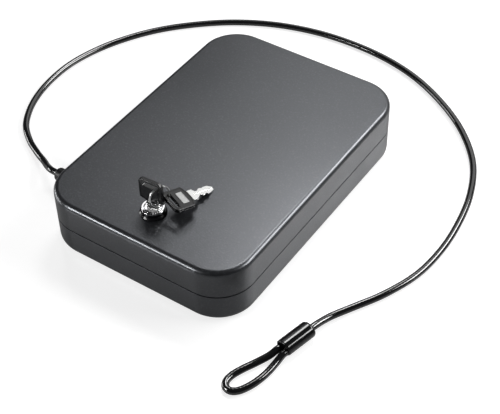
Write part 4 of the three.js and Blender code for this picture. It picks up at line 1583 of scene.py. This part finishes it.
def makeFloorMaterial():  # its own shaded colour, with a glow that brings the unshaded floor to white
    material = bpy.data.materials.new("paleFloor")
    material.use_nodes = True
    tree = material.node_tree
    shader = tree.nodes["Principled BSDF"]
    shader.inputs["Base Color"].default_value = (*stageForm["floorColour"], 1)
    shader.inputs["Roughness"].default_value = stageForm["floorGloss"]
    shader.inputs["IOR"].default_value = stageForm["floorIndex"]
    shader.inputs["Emission Color"].default_value = (1, 1, 1, 1)
    rays = addNode(tree, "ShaderNodeLightPath").outputs
    seen = addMath(tree, "MULTIPLY", rays["Is Camera Ray"], stageForm["cameraGlow"])
    mirrored = addMath(tree, "MAXIMUM", rays["Is Glossy Ray"], rays["Is Transmission Ray"])
    total = addMath(tree, "MULTIPLY_ADD", mirrored, stageForm["mirrorGlow"], seen)
    tree.links.new(total, shader.inputs["Emission Strength"])
    return material


def addFloor():
    deselectAll()
    bpy.ops.mesh.primitive_plane_add(size=stageForm["floorSize"], location=(0, 0, -stageForm["floorDrop"]))
    floor = takeNew("paleFloor")
    floor.data.materials.append(makeFloorMaterial())


def addWorld():  # dim for what it lights, white where the camera sees past the floor
    world = bpy.data.worlds.new("studio")
    world.use_nodes = True
    tree = world.node_tree
    dim = tree.nodes["Background"]
    dim.inputs["Color"].default_value = (*stageForm["worldColour"], 1)
    dim.inputs["Strength"].default_value = stageForm["worldLevel"]
    white = addNode(tree, "ShaderNodeBackground")
    white.inputs["Color"].default_value = (1, 1, 1, 1)
    path = addNode(tree, "ShaderNodeLightPath")
    mix = addNode(tree, "ShaderNodeMixShader")
    tree.links.new(path.outputs["Is Camera Ray"], mix.inputs["Fac"])
    tree.links.new(dim.outputs["Background"], mix.inputs[1])
    tree.links.new(white.outputs["Background"], mix.inputs[2])
    tree.links.new(mix.outputs["Shader"], tree.nodes["World Output"].inputs["Surface"])
    bpy.context.scene.world = world


def addSoftboxes():
    aim = Vector(stageForm["lampAim"])
    for name, (azimuth, elevation, size, brightness) in softboxes.items():
        data = bpy.data.lights.new(name, "AREA")
        data.shape = "RECTANGLE"
        data.size, data.size_y = size
        data.energy = brightness * math.pi * size[0] * size[1]
        lamp = bpy.data.objects.new(name, data)
        bpy.context.scene.collection.objects.link(lamp)
        turn, rise = math.radians(azimuth), math.radians(elevation)
        towards = Vector((math.cos(rise) * math.cos(turn), math.cos(rise) * math.sin(turn), math.sin(rise)))
        lamp.location = aim + towards * stageForm["lampDistance"]
        lamp.rotation_euler = (aim - lamp.location).to_track_quat("-Z", "Y").to_euler()


addFloor()
addWorld()
addSoftboxes()
bpy.context.scene.view_settings.view_transform = "Standard"
print("stage and lights set")
